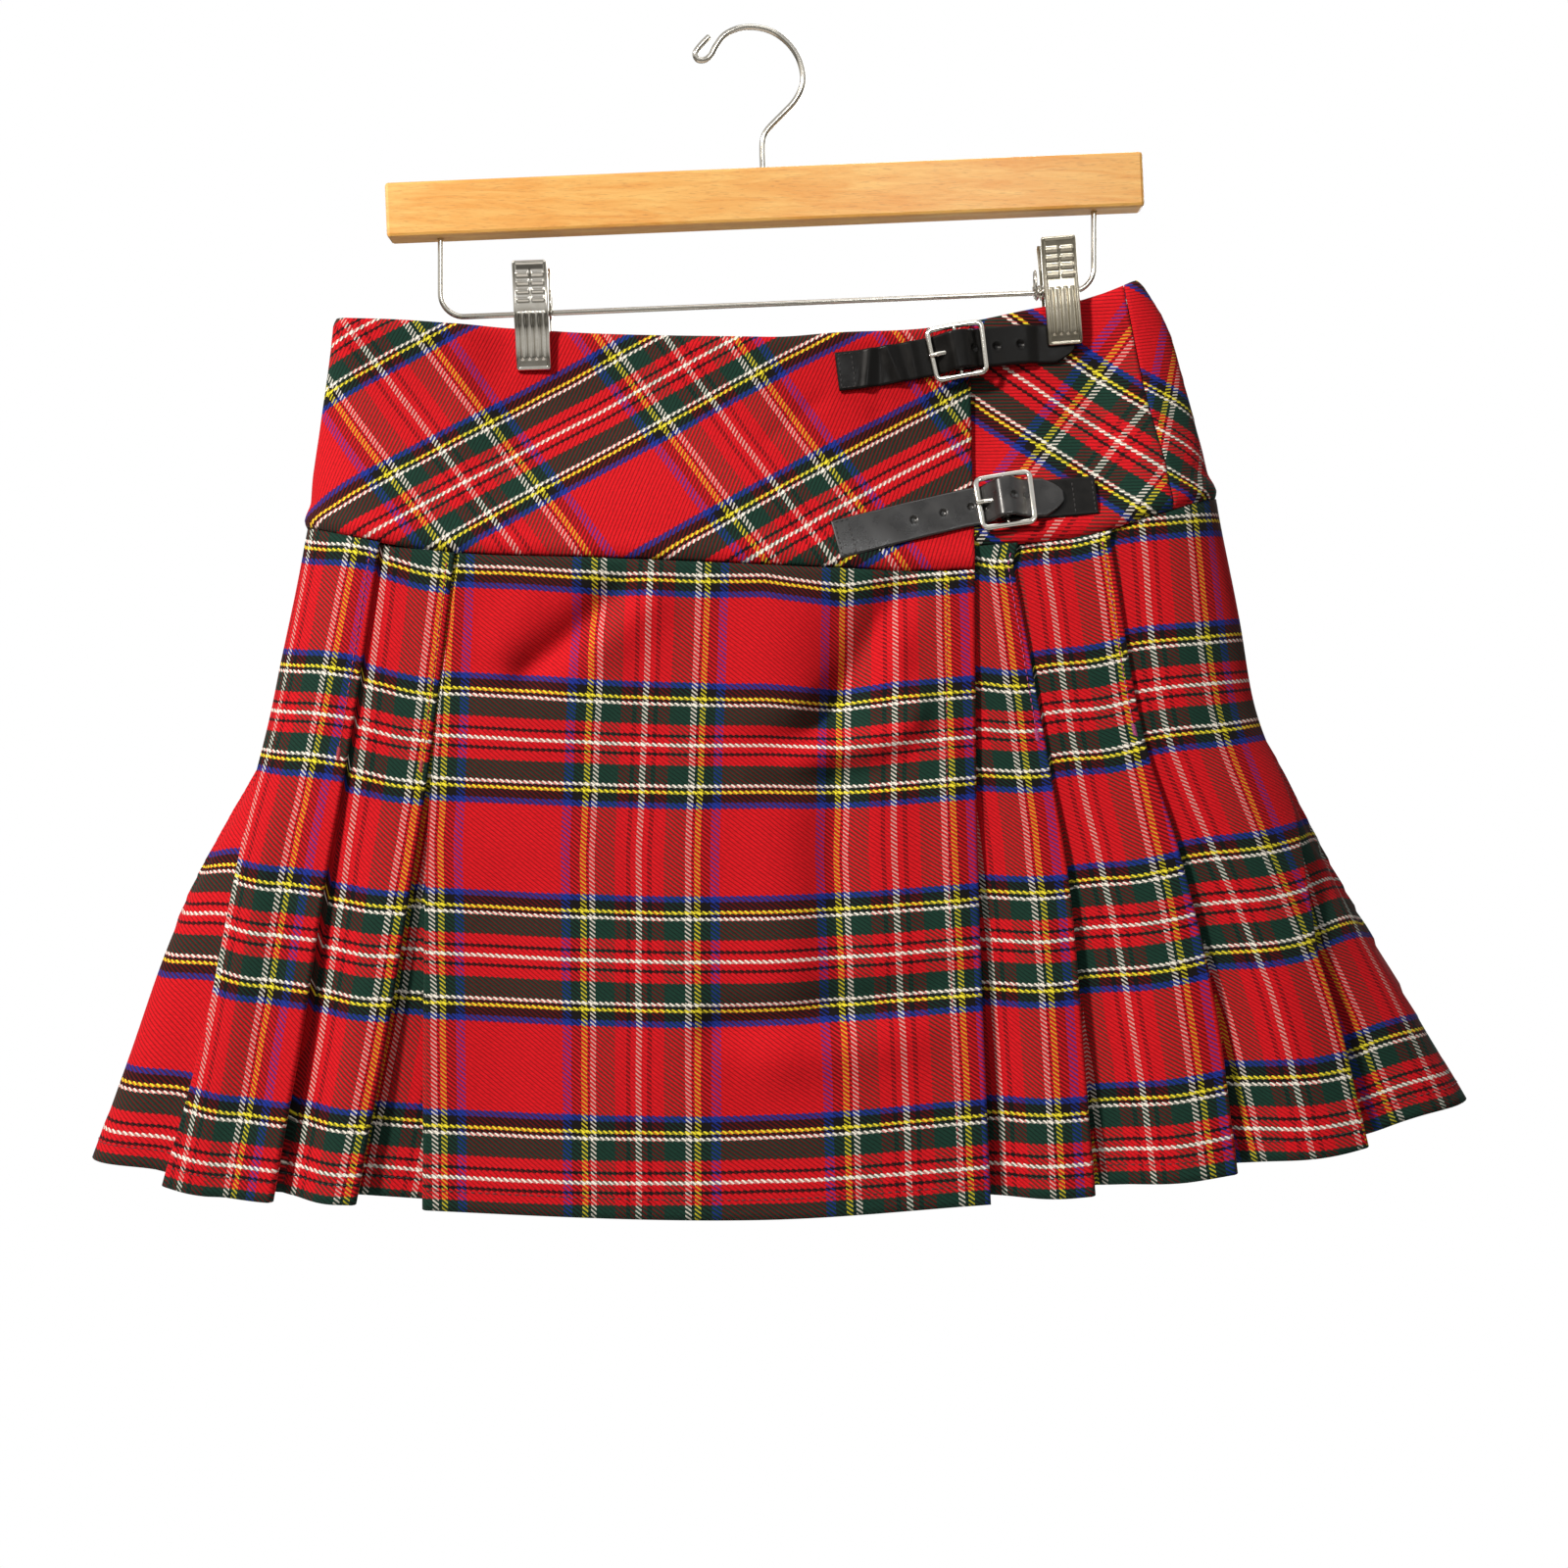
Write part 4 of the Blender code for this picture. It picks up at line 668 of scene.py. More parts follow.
skirt = {
    "rows": 90, "cloth": 0.75, "seamGap": 0.35, "tipDrop": 3.0, "underDepth": 3.0, "underEnd": 30.0,
    "release": 1.34, "backPleats": 9, "bulge": 2.4, "hemWhite": 13.0,
    # Columns of points in a pleat's face and in each of its folds and hidden layers, and the
    # column of the face that the topstitching follows
    "faceColumns": 26, "foldColumns": 8, "stitchColumn": 21, "underColumns": 21, "overlap": 8,
    # The weave is drawn in by this share more than 200 mm above the hem
    "drawnInFrom": 200.0, "drawnIn": 0.04,
    # The turned hem: how far it stands out, its height, and the height of its stitches
    "hemRise": 0.35, "hemTurn": 22.0, "hemStitch": 9.0,
    # Distance of each fold past the white line's middle, as cloth from the red middle, by level
    "foldLevels": [1.0, 1.34, 1.5, 1.76, 2.0],
    "rightInner": [26.0, 21.5, 18.8, 18.0, 16.4], "rightMiddle": [28.5, 27.0, 23.0, 19.0, 20.0],
    "rightOuter": [28.0, 28.0, 28.0, 29.0, 31.0], "leftOuter": [21.4, 17.0, 15.0, 13.0, 13.0],
    "leftInner": [28.2, 28.6, 28.4, 28.0, 27.5], "other": [25.0, 23.0, 21.5, 20.0, 20.0],
    # The third right fold is turned round the side edge above level 1.7: extra run by level
    "roundSide": ([1.0, 1.34, 1.48, 1.60, 1.70], [17.0, 22.0, 20.0, 9.0, 0.0]),
    # How far the weft rides up on each part, at its first and last column, by level
    "liftLevels": [1.0, 1.2, 1.34, 1.5, 1.68, 1.87, 2.0],
    "lift": {
        "rightInner": ([1, -1, 0, 2.5, 2.7, 2.3, 1.5], [1, -1, 0, 2.5, 2.7, 2.3, 1.5]),
        "rightMiddle": ([4, 3.5, 2.5, 2.5, 3.5, 3, 2.5], [8, 8, 6.5, 5.0, 5.4, 4.6, 4]),
        "rightOuter": ([8, 8, 6.5, 5.5, 5.0, 4.0, 3], [10, 9, 9, 9, 6, 1.0, -1.5]),
        "leftOuter": ([16, 13, 12, 9.8, 7.5, 4, 2], [9.4, 9.4, 9.2, 8.3, 5, 2.5, 1]),
        "leftInner": ([5, 3, 2, 0, 0, 0.5, 1], [0, -1, -1, 0, 0, 0.5, 1]),
        "other": ([3, 3, 3, 3, 3, 3, 3], [3, 3, 3, 3, 3, 3, 3]),
    },
}


def liftOf(name, level, columns):
    # Straight from the first to the last column of the face, then constant in the hidden layers
    first, last = (np.interp(level, skirt["liftLevels"], side) for side in skirt["lift"][name])
    share = np.clip(np.arange(columns) / (skirt["faceColumns"] - 1), 0, 1)[None]
    return first + (last - first) * share


def layers(tip, level, before, anchor, following, bulge=1.0, stretch=1.0):
    # One knife pleat over all levels: its face rises from under the fold before it to its own
    # fold, turns back under as a middle layer, and turns again into an inner layer.
    # Gives runs, insets and cloth distances as rows of levels by columns of points.
    gap, proud = shapeOf("gap", level), shapeOf("proud", level)
    tuck = np.minimum(shapeOf("tuck", level), 0.86 * (tip - before))
    rise = before + gap / 2 + 0.9
    edge = tip - gap / 2
    inner = tip - tuck + gap / 2
    low = smoothStep((level - 1.3) / 0.5)
    columns = skirt["foldColumns"]
    s = (1 - np.cos(np.linspace(0, math.pi, skirt["faceColumns"]))) / 2
    half = np.linspace(0, math.pi, columns + 2)[1:-1]
    t = np.linspace(0, 1, columns)

    def surface(run):
        # Inset of the face: it lies at the fold's level at its tip and sinks towards the fold
        # before it, less a swell that grows towards the hem
        share = np.clip((tip - run) / (tip - rise), 0, 1)
        swell = skirt["bulge"] * bulge * low * np.sin(math.pi * np.clip(share * 1.25, 0, 1)) ** 1.5
        return proud * (smoothStep(share / 2) * share ** 0.3 + share / 2) - swell
    face = rise + (edge - rise) * s
    back = edge + (inner - edge) * t
    last = inner + (edge - inner) * t
    deep = surface(inner) + gap
    runs = np.concatenate([face, edge + gap / 2 * np.sin(half), back,
                           inner - gap / 2 * np.sin(half), last], 1)
    insets = np.concatenate([
        surface(face), surface(edge) + gap / 2 * (1 - np.cos(half)), surface(back) + gap,
        deep + gap / 2 * (1 - np.cos(half)), surface(last) + 2 * gap + (proud - 2 * gap) * t], 1)
    step = np.hypot(np.diff(runs, axis=1), np.diff(insets, axis=1))
    walked = np.concatenate([np.zeros((len(runs), 1)), np.cumsum(step, 1)], 1)
    fold = skirt["faceColumns"] + columns // 2
    walked -= walked[:, fold:fold + 1]
    cloth = anchor + walked * stretch
    # The hidden part's pattern is stretched so that the next face starts at its own place
    hidden = np.clip(walked / walked[:, -1:], 0, 1)
    return runs, insets, cloth + hidden * (following - cloth[:, -1:])


def pleatSystem(level):
    # Runs of all folds round the loop and the cloth distance at each: right front, back, left
    # front; and the run of the wrap's edge
    total = 2 * form.lengthAt(level)
    aside = np.interp(level, *skirt["roundSide"])
    right = [form.runOfX(foldX(n, level), level) for n in ("rightInner", "rightMiddle", "rightOuter")]
    right[2] = right[2] + aside
    left = [form.runOfX(foldX(n, level), level) + total for n in ("roll", "leftOuter", "leftInner")]
    steps = skirt["backPleats"] + 1
    back = [right[-1] + (left[0] - right[-1]) * k / steps for k in range(1, steps)]
    names = ["rightInner", "rightMiddle", "rightOuter"] + ["other"] * steps + ["leftOuter", "leftInner"]
    anchors = [-np.interp(level, skirt["foldLevels"], skirt[n]) for n in names]
    anchors[2] = anchors[2] + aside
    return right + back + left, anchors, form.runOfX(foldX("wrap", level), level)


def hangCloth(runs, insets, level):
    # Points of the cloth; layers that lie deep hang higher at the hem than folds that stand
    # proud, and the top row stays clear of the yoke
    points = form.point(runs, level, insets)
    low = smoothStep((level - skirt["release"]) / (2 - skirt["release"]))
    share = np.clip(insets / shapeOf("proud", level), 0, 1)
    points[..., 2] -= skirt["tipDrop"] * low * (1 - share)
    points[0, :, 2] -= skirt["seamGap"]
    return points


def weftPlace(points):
    # Cloth distance up from the hem, so that the white middle line lies 13 mm above it
    step = np.linalg.norm(np.diff(points, axis=0), axis=2)
    down = np.concatenate([np.zeros((1, points.shape[1])), np.cumsum(step, 0)])
    up = down[-1:] - down
    drawn = up + np.maximum(up - skirt["drawnInFrom"], 0) * skirt["drawnIn"]
    return drawn - skirt["hemWhite"] + tartan["weftRepeat"] / 2


def creases(points, marks):
    # Each crease is a smooth line through a few x and z places. The shift is its depth times a
    # bell of the distance from the line over the width, and fades to nothing at both ends.
    shift = np.zeros(points.shape[:2])
    x, z = points[..., 0], points[..., 2]
    blend = 2.0
    for mark in marks:
        line = splineThrough(mark["line"], 10)
        low, high = line.min(0) - 4 * mark["width"], line.max(0) + 4 * mark["width"]
        near = (x > low[0]) & (x < high[0]) & (z > low[1]) & (z < high[1])
        away = np.hypot(x[near][:, None] - line[:, 0], z[near][:, None] - line[:, 1])
        weight = np.exp(-((away - away.min(1, keepdims=True)) / blend) ** 2)
        weight /= weight.sum(1, keepdims=True)
        share = (np.linspace(0, 1, len(line)) * weight).sum(1)
        fade = mark.get("fade", 0.3)
        ends = smoothStep(share / fade) * smoothStep((1 - share) / fade)
        shift[near] += mark["depth"] * np.exp(-((away * weight).sum(1) / mark["width"]) ** 2) * ends
    return shift


def pushOut(points, shift):
    # Every point moved along the cloth's own normal
    return points + gridNormals(points) * shift[..., None]


def joined(parts):
    # Runs, insets, cloth distances and lifts of several parts side by side
    return [np.concatenate([part[k] + np.zeros_like(part[0]) for part in parts], 1) for k in range(4)]


def moved(part, distance, name, level):
    # A pleat's layers with its cloth distance counted on from the first pleat, and its lift
    return (part[0], part[1], part[2] + distance, liftOf(name, level, part[0].shape[1]))


pleatLead = 1.6  # run from a fold to where the next face comes out from under it


def pleatAt(k, level, tips, anchors, before, bulge=1.0):
    # Layers of pleat k; the hidden cloth leads to where the next face's pattern has to start
    following = anchors[k + 1] + tartan["warpRepeat"] - (tips[k + 1] - tips[k] - pleatLead)
    return layers(tips[k], level, before, anchors[k], following, bulge)


def makeSkirt():
    # Right front, back, left front and apron, from the same folds
    level = np.linspace(1.0, 2.0, skirt["rows"])[:, None]
    tips, anchors, wrap = pleatSystem(level)
    repeat, overlap = tartan["warpRepeat"], skirt["overlap"]

    # Right front: the under part behind the apron, then three pleats
    first = pleatAt(0, level, tips, anchors, wrap - 6, 0.7)
    second = pleatAt(1, level, tips, anchors, tips[0])
    third = pleatAt(2, level, tips, anchors, tips[1], 0.6)
    endRun = form.runOfX(np.full(level.shape, skirt["underEnd"]), level)
    columns = skirt["underColumns"]
    s = np.linspace(0, 1, columns + 1)[:-1]
    deep = np.maximum(skirt["underDepth"], 0.8 * shapeOf("proud", level))
    underRun = endRun + (first[0][:, :1] - endRun) * s
    under = (underRun, deep + (first[1][:, :1] - deep) * smoothStep(s * 3 - 2),
             first[2][:, :1] - (first[0][:, :1] - underRun), liftOf("rightInner", level, columns))
    parts = joined([
        under, moved(first, 0, "rightInner", level), moved(second, repeat, "rightMiddle", level),
        moved([part[:, :-overlap] for part in third], 2 * repeat, "rightOuter", level)])
    top = parts[0][:1]
    length = form.lengthAt(1.0)
    x = form.at(np.clip(top / length, 0, 1), np.ones_like(top))[0]
    tops = np.where(top < length, underSeam(x), 1.0)
    size = first[0].shape[1]
    seams = [columns + skirt["stitchColumn"] + size * k for k in range(2)]
    makeSkirtPiece("kilt_pleats_right", "pleats_right", parts, level, tops, seams, pinkThread)

    # Back: nine pleats after the end of the third
    ladder = [moved([part[:, -overlap:] for part in third], 0, "other", level)]
    for k in range(3, 12):
        ladder.append(moved(pleatAt(k, level, tips, anchors, tips[k - 1]), repeat * (k - 2), "other", level))
    ladder[-1] = [part[:, :-overlap] for part in ladder[-1]]
    seams = [overlap + size * k + skirt["stitchColumn"] for k in range(skirt["backPleats"])]
    makeSkirtPiece("kilt_pleats_back", "pleats_back", joined(ladder), level, None, seams, redThread)
    makeLeft(level, tips, anchors)
    makeApron(level)


leftPanel = {
    # Columns of the side panel; how far it runs on behind the roll, above and below its opening
    "columns": 44, "reach": 4.0, "reachLow": 14.0,
    # It leaves the last back pleat within the first third of its run, and sinks behind the roll
    # over a run that starts 46 mm before it; its pattern is drawn in a little
    "sink": 0.9, "sinkLow": 1.2, "settleFrom": 46.0, "settleRun": 42.0, "draw": 0.86, "phase": 14.0,
    "turnColumns": 6, "backColumns": 8, "rollSwell": (0.8, 0.9, 2.6), "tailColumns": 12,
}


def makeLeft(level, tips, anchors):
    # From under the last back pleat the side panel runs round the edge and behind the rolled
    # pleat, turns back, turns again at the roll and becomes its face
    repeat, overlap, columns = tartan["warpRepeat"], skirt["overlap"], skirt["faceColumns"]
    gap, proud = shapeOf("gap", level), shapeOf("proud", level)
    roll, tip, innerTip = tips[12:15]
    low = smoothStep((level - 1.22) / 0.3)
    rise = tips[11] + gap / 2 + 0.9
    reach = roll + leftPanel["reach"] + leftPanel["reachLow"] * low
    s = np.linspace(0, 1, leftPanel["columns"])
    panelRun = rise + (reach - rise) * s
    sink = 2.0 * gap + (proud - 2.0 * gap) * leftPanel["sink"] + leftPanel["sinkLow"] * low
    settle = smoothStep((panelRun - (roll - leftPanel["settleFrom"])) / leftPanel["settleRun"])
    panelInset = proud * (1 - smoothStep(s * 3.2)) + sink * settle
    panelCloth = (panelRun - (roll - 6)) * leftPanel["draw"] + leftPanel["phase"]

    # The turn at its end, the way back, and the roll
    half = np.linspace(0, math.pi, leftPanel["turnColumns"] + 2)[1:-1]
    t = np.linspace(0, 1, leftPanel["backColumns"])
    deep = panelInset[:, -1:]
    backInset = deep - gap + (2 * gap + 0.3 - deep) * t
    hiddenRun = np.concatenate([reach + gap / 2 * np.sin(half), reach + (roll + gap / 2 - reach) * t,
                                roll + gap / 2 - gap / 2 * np.sin(half)], 1)
    hiddenInset = np.concatenate([deep - gap / 2 * (1 - np.cos(half)), backInset,
                                  backInset[:, -1:] * (1 + np.cos(half)) / 2], 1)
    width = hiddenRun.shape[1]

    # The rolled pleat's face swells a little at its middle and is hollow beside the roll
    following = anchors[14] + repeat - (innerTip - tip - pleatLead)
    face = layers(tip, level, roll, anchors[13], following, 0.0)
    share = np.clip((face[0][:, :columns] - roll) / (tip - roll), 0, 1)
    middle, growth, hollow = leftPanel["rollSwell"]
    face[1][:, :columns] = ((middle + growth * low) * np.sin(math.pi * share) ** 2
                            - hollow * low * np.sin(math.pi * np.clip(share * 1.6, 0, 1)) ** 2)
    hiddenCloth = (panelCloth[:, -1:] + (face[2][:, :1] + repeat - panelCloth[:, -1:])
                   * np.linspace(0.02, 0.98, width))
    inner = layers(innerTip, level, tip, anchors[14], anchors[14] + 59.0, 0.9, stretch=0.94)
    apron = form.runOfX(foldX("apron", level), level) + 2 * form.lengthAt(level)
    base = apron + shapeOf("tuck", level) * np.linspace(0.05, 1.0, leftPanel["tailColumns"])
    lead = [part[:, -overlap:] for part in pleatAt(11, level, tips, anchors, tips[10])]
    side = np.interp(level, skirt["liftLevels"], skirt["lift"]["leftOuter"][0])
    parts = joined([
        (lead[0], lead[1], panelCloth[:, :1] - 12, side), (panelRun, panelInset, panelCloth, side),
        (hiddenRun, hiddenInset, hiddenCloth, side), moved(face, repeat, "leftOuter", level),
        moved(inner, 2 * repeat, "leftInner", level),
        (base, inner[1][:, -1:], inner[2][:, -1:] + 2 * repeat + base - inner[0][:, -1:], 0.0)])
    start = overlap + leftPanel["columns"] + width + skirt["stitchColumn"]
    makeSkirtPiece("kilt_pleats_left", "pleats_left", parts, level, None,
                   [start, start + face[0].shape[1]], redThread)


def makeSkirtPiece(name, node, parts, level, tops, seams, thread):
    # Rows below the seam; each column of the right front starts at its own, higher, seam
    runs, insets, cloth, lift = parts
    levels = level + np.zeros_like(runs)
    if tops is not None:
        levels = tops + (2.0 - tops) * (level - 1.0)
        row = np.clip((levels - 1.0) * (skirt["rows"] - 1), 0, skirt["rows"] - 1.001)
        i = row.astype(int)
        j = np.broadcast_to(np.arange(runs.shape[1])[None], i.shape)
        runs, insets, cloth, lift = (grid[i, j] * (1 - row + i) + grid[i + 1, j] * (row - i)
                                     for grid in (runs, insets, cloth, lift))
    points = hangCloth(runs, insets, levels)
    weave = weftPlace(points) - lift
    if node != "pleats_back":
        # Layers behind the apron give way where it is creased inward
        x = points[..., 0]
        covered = (points[..., 1] < 0) * (1 - smoothStep((x - 90) / 12)) * smoothStep((x + 156) / 12)
        points[..., 1] -= np.minimum(creases(points, apronLook["creases"]), 0) * covered
    points = pushOut(points, hemRoll(points))
    piece = clothShell(name, points, cloth, weave, skirt["cloth"], skirtTwill)
    finishPiece(piece, node)

    # Topstitching of each pleat down to its opening, with a bar tack of close, slanting stitches
    rows = int((skirt["release"] - 1) * (skirt["rows"] - 1)) + 1
    normals = gridNormals(points)
    lines = []
    for column in seams:
        lines.append(stitchLine(points[:rows + 1, column], normals[:rows + 1, column], 2.3, 3.4, 5.0))
        lines.append(stitchLine(points[rows - 2:rows + 1, column], normals[rows - 2:rows + 1, column],
                                1.5, 0.8, 0.0, 1.1))
    made = stitchGroup(name + "_seam_stitches", *(np.concatenate(v) for v in zip(*lines)), 0.3, thread)
    finishPiece(made)
    hemStitches(name, points)


def stitchLine(path, normals, length, pitch, skip=0.0, slant=0.0):
    # Beads every pitch mm along a line, lifted to lie on the cloth
    run = np.concatenate([[0.0], np.cumsum(np.linalg.norm(np.diff(path, axis=0), axis=1))])
    at = np.arange(skip, run[-1] - length, pitch)

    def read(values, where):
        return np.stack([np.interp(where, run, values[:, k]) for k in range(3)], -1)
    lift = read(normals, at)
    lift /= np.linalg.norm(lift, axis=1, keepdims=True)
    side = np.cross(lift, read(np.gradient(path, axis=0), at))
    side /= np.linalg.norm(side, axis=1, keepdims=True)
    raised = lift * (skirt["cloth"] / 2 + 0.04)
    return read(path, at) + raised - side * slant, read(path, at + length) + raised + side * slant, lift


def hemStitches(name, points):
    # Topstitching that holds the turned hem, on a line between the third and fourth row from it
    step = np.linalg.norm(np.diff(points[-5:], axis=0), axis=2)
    t = ((skirt["hemStitch"] - step[-1] - step[-2]) / step[-3])[:, None]
    normals = gridNormals(points)
    line = points[-3] * (1 - t) + points[-4] * t
    normal = normals[-3] * (1 - t) + normals[-4] * t
    finishPiece(stitchGroup(name + "_hem_stitches", *stitchLine(line, normal, 2.2, 3.3), 0.24, blackThread))


def hemRoll(points):
    # The turned-up hem is two cloths thick: it stands out slightly over its height
    step = np.linalg.norm(np.diff(points, axis=0), axis=2)
    up = np.cumsum(np.concatenate([np.zeros((1, points.shape[1])), step[::-1]]), 0)[::-1]
    return skirt["hemRise"] * smoothStep((skirt["hemTurn"] - up) / 4)


def finishPiece(piece, node=None):
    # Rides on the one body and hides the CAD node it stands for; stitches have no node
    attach(piece, "root")
    if node:
        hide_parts(node)


apronLook = {
    # The wrap's edge is faced over 14 mm, which stands out a little
    "columns": 150, "backColumns": 10, "turnColumns": 10, "facing": 14.0, "facingRise": 0.35,
    "cut": (0.30, 0.32),
    # Where stripe middles stand: cloth distance from a red middle, and their x at five levels
    "stripeLevels": [1.0, 1.094, 1.456, 1.788, 2.0],
    "stripes": [
        (-174.45, [-165.5, -166.3, -170.5, -167.5, -166.0]),
        (-150.3, [-140.7, -141.5, -145.2, -142.3, -140.8]),
        (-82.3, [-71.1, -72.0, -75.9, -74.6, -73.9]), (-58.15, [-47.5, -48.3, -52.4, -52.0, -51.7]),
        (-34.0, [-23.0, -23.8, -27.8, -27.3, -27.0]), (34.0, [42.8, 42.3, 39.9, 43.7, 45.7]),
        (58.15, [65.3, 65.1, 63.9, 68.4, 70.7]), (82.3, [86.6, 87.1, 89.6, 94.1, 96.5]),
        (116.3, [119.0, 121.0, 124.0, 128.5, 131.0]),
    ],
    # How far the weft rides up: x places, then a row of lifts for each of the skirt's lift levels
    "lift": ([-100, 5, 41, 66],
             [[3.4, 2.5, -4.5, -2.7], [2.9, 1.0, -3.4, -2.0], [1.6, 2.0, -0.6, -0.9], [2.3, 2.7, 2.1, 1.6],
              [2.7, 2.9, 3.0, 3.2], [2.9, 4.3, 4.4, 4.5], [2.3, 4.5, 4.0, 3.6]]),
    # Troughs (negative depth) and ridges that pull from the yoke seam and across the front
    "creases": [
        {"line": [(-52, -258), (-66, -270), (-86, -288), (-105, -304), (-114, -314)],
         "width": 8.6, "depth": -7.6},
        {"line": [(-36, -262), (-58, -282), (-80, -302)], "width": 11, "depth": 3.0},
        {"line": [(-96, -262), (-112, -284), (-124, -304)], "width": 12, "depth": 1.6},
        {"line": [(76, -258), (62, -274), (41, -313), (21, -333), (-13, -337)],
         "width": 9.4, "depth": -7.8},
        {"line": [(78, -300), (72, -328), (40, -340), (8, -347)], "width": 7.4, "depth": 5.0},
        {"line": [(80, -342), (50, -351), (18, -356), (-8, -354)], "width": 8, "depth": -4.4},
        {"line": [(41, -262), (38, -330), (36, -400), (36, -480)],
         "width": 13, "depth": -4.6, "fade": 0.2},
        {"line": [(8, -262), (8, -330), (10, -420), (12, -500)],
         "width": 20, "depth": 2.4, "fade": 0.2},
        {"line": [(-30, -468), (-12, -465), (40, -457), (104, -446)], "width": 9.6, "depth": -5.8},
        {"line": [(-8, -482), (36, -478), (90, -468)], "width": 12, "depth": 3.2},
        {"line": [(-130, -300), (-100, -350), (-60, -420)], "width": 24, "depth": 1.8},
        {"line": [(94, -290), (90, -370), (92, -450)], "width": 8, "depth": 1.5},
        {"line": [(-30, -300), (-34, -400), (-24, -530)], "width": 22, "depth": 2.0},
        {"line": [(60, -262), (66, -300), (70, -340)], "width": 8, "depth": 2.6},
        {"line": [(-110, -380), (-114, -460), (-112, -540)], "width": 22, "depth": -1.6},
    ],
}


def bilinear(x, level, knots, levels, rows):
    # Rows of values at the knots, read along x, then blended between the two nearest levels
    along = np.stack([np.interp(x, knots, row) for row in rows])
    place = np.interp(level, levels, np.arange(len(levels)))
    place = np.clip(place, 0, len(levels) - 1.001) + np.zeros_like(x)
    i = place.astype(int)
    r, c = np.indices(x.shape)
    return along[i, r, c] * (1 - place + i) + along[i + 1, r, c] * (place - i)


def makeApron(level):
    # Hidden cloth behind the left fold, the fold, and the face to the wrap's edge. The pattern
    # across is read from the stripes' places, and that up from the hem.
    gap, tuck = shapeOf("gap", level), shapeOf("tuck", level)
    fold = form.runOfX(foldX("apron", level), level) + gap / 2
    right = form.runOfX(foldX("wrap", level), level)
    half = np.linspace(0, math.pi, apronLook["turnColumns"] + 2)[1:-1]
    back = fold + tuck * np.linspace(1, 0, apronLook["backColumns"])
    turn = fold - gap / 2 * np.sin(half)
    face = fold + (right - fold) * np.linspace(0, 1, apronLook["columns"])
    runs = np.concatenate([back, turn, face], 1)
    insets = np.concatenate([gap + 0 * back, gap / 2 * (1 + np.cos(half)) + 0 * turn, 0 * face], 1)
    points = hangCloth(runs, insets, level + np.zeros_like(runs))
    knots, lifts = apronLook["lift"]
    weave = weftPlace(points) - bilinear(points[..., 0], level, knots, skirt["liftLevels"], lifts)
    distances, places = zip(*apronLook["stripes"])
    stripes = [[np.interp(l, apronLook["stripeLevels"], xs) for xs in places] for l in level[:, 0]]
    cloth = np.stack([np.interp(row, xs, distances) for row, xs in zip(points[..., 0], stripes)])
    hidden = apronLook["backColumns"] + apronLook["turnColumns"]
    isHidden = np.arange(runs.shape[1]) < hidden
    cloth = np.where(isHidden, cloth[:, hidden:hidden + 1] - np.abs(runs - fold) - 1.5, cloth)

    points[..., 1] -= creases(points, apronLook["creases"])
    edge = right - runs
    facing = apronLook["facingRise"] * smoothStep((apronLook["facing"] - edge) / 3.0)
    points = pushOut(points, np.where(isHidden, 0, facing) + hemRoll(points))
    piece = clothShell("kilt_apron", points, cloth, weave, skirt["cloth"], skirtTwill)
    finishPiece(piece, "apron")
    at = np.argmin(np.abs(edge[-1] - apronLook["facing"]))
    line = stitchLine(points[2:-3, at], gridNormals(points)[2:-3, at], 2.2, 3.4)
    finishPiece(stitchGroup("kilt_apron_facing_stitches", *line, 0.24, redThread))
    hemStitches("kilt_apron", points[:, hidden:])


makeSkirt()
print("skirt hung")


# Yoke

yoke = {
    "rows": 60, "cloth": 1.0, "underDepth": 2.2, "underEnd": 26.0, "seamBehind": 9.0, "seamGap": 0.35,
    "frontColumns": 210, "underColumns": 110, "backColumns": 230, "cutTall": 0.125, "meanTall": 0.115,
    "sideSeam": ([0, 0.46, 0.8, 1], [173, 182.2, 190.6, 193]),
    # The waist rolls in, and the seam edge stands proud before it dips in
    "waistRoll": 1.1, "seamStand": 1.5, "seamDip": 2.5,
    # Bias lay, read as cloth = a + b x + c z + d x2 + e x z + f z2 with x and z + 190 in 100 mm:
    # left front lines rise 29 degrees to the right, the right front's fall 36 degrees
    "frontUp": (96.61, 50.92, -94.16, -1.07, 1.59, -8.44),
    "frontAcross": (66.25, 82.28, 60.09, 1.05, -0.38, -1.82),
    "underUp": (143.57, -57.91, -81.12, 0, 0, 0), "underAcross": (-73.51, 75.27, -58.54, 0, 0, 0),
    "sideUp": (167.24, -62.45, -114.92, 0, 0, 0), "sideAcross": (-162.98, 102.99, -25.92, 0, 0, 0),
    "backUp": (50, 55, -84, 0, 0, 0), "backAcross": (20, 80, 60, 0, 0, 0),
    "puckers": [
        {"line": [(38, -172), (20, -184), (0, -200)], "width": 5, "depth": -1.0},
        {"line": [(54, -176), (62, -190), (80, -206)], "width": 6, "depth": -1.3},
        {"line": [(-98, -158), (-80, -176), (-58, -196)], "width": 8, "depth": -1.0},
        {"line": [(-112, -158), (-120, -180), (-126, -206)], "width": 9, "depth": 0.9},
        {"line": [(34, -240), (10, -236), (-20, -228)], "width": 6, "depth": -0.9},
        {"line": [(-190, -170), (-150, -186), (-110, -190)], "width": 14, "depth": 0.8},
    ],
}


def biasLay(points, up, across):
    # Cloth distances along warp and weft as polynomials of second degree in x and z
    x = points[..., 0] / 100
    z = (points[..., 2] + 190) / 100
    basis = np.stack([np.ones_like(x), x, z, x * x, x * z, z * z], -1)
    return basis @ np.asarray(across, float), basis @ np.asarray(up, float)


def unrolled(runs, level, points):
    # x measured along the cloth, so that the pattern doesn't bunch where the yoke turns a side
    flat = points.copy()
    flat[..., 0] = runs - form.runOfX(np.zeros_like(runs), level)
    return flat


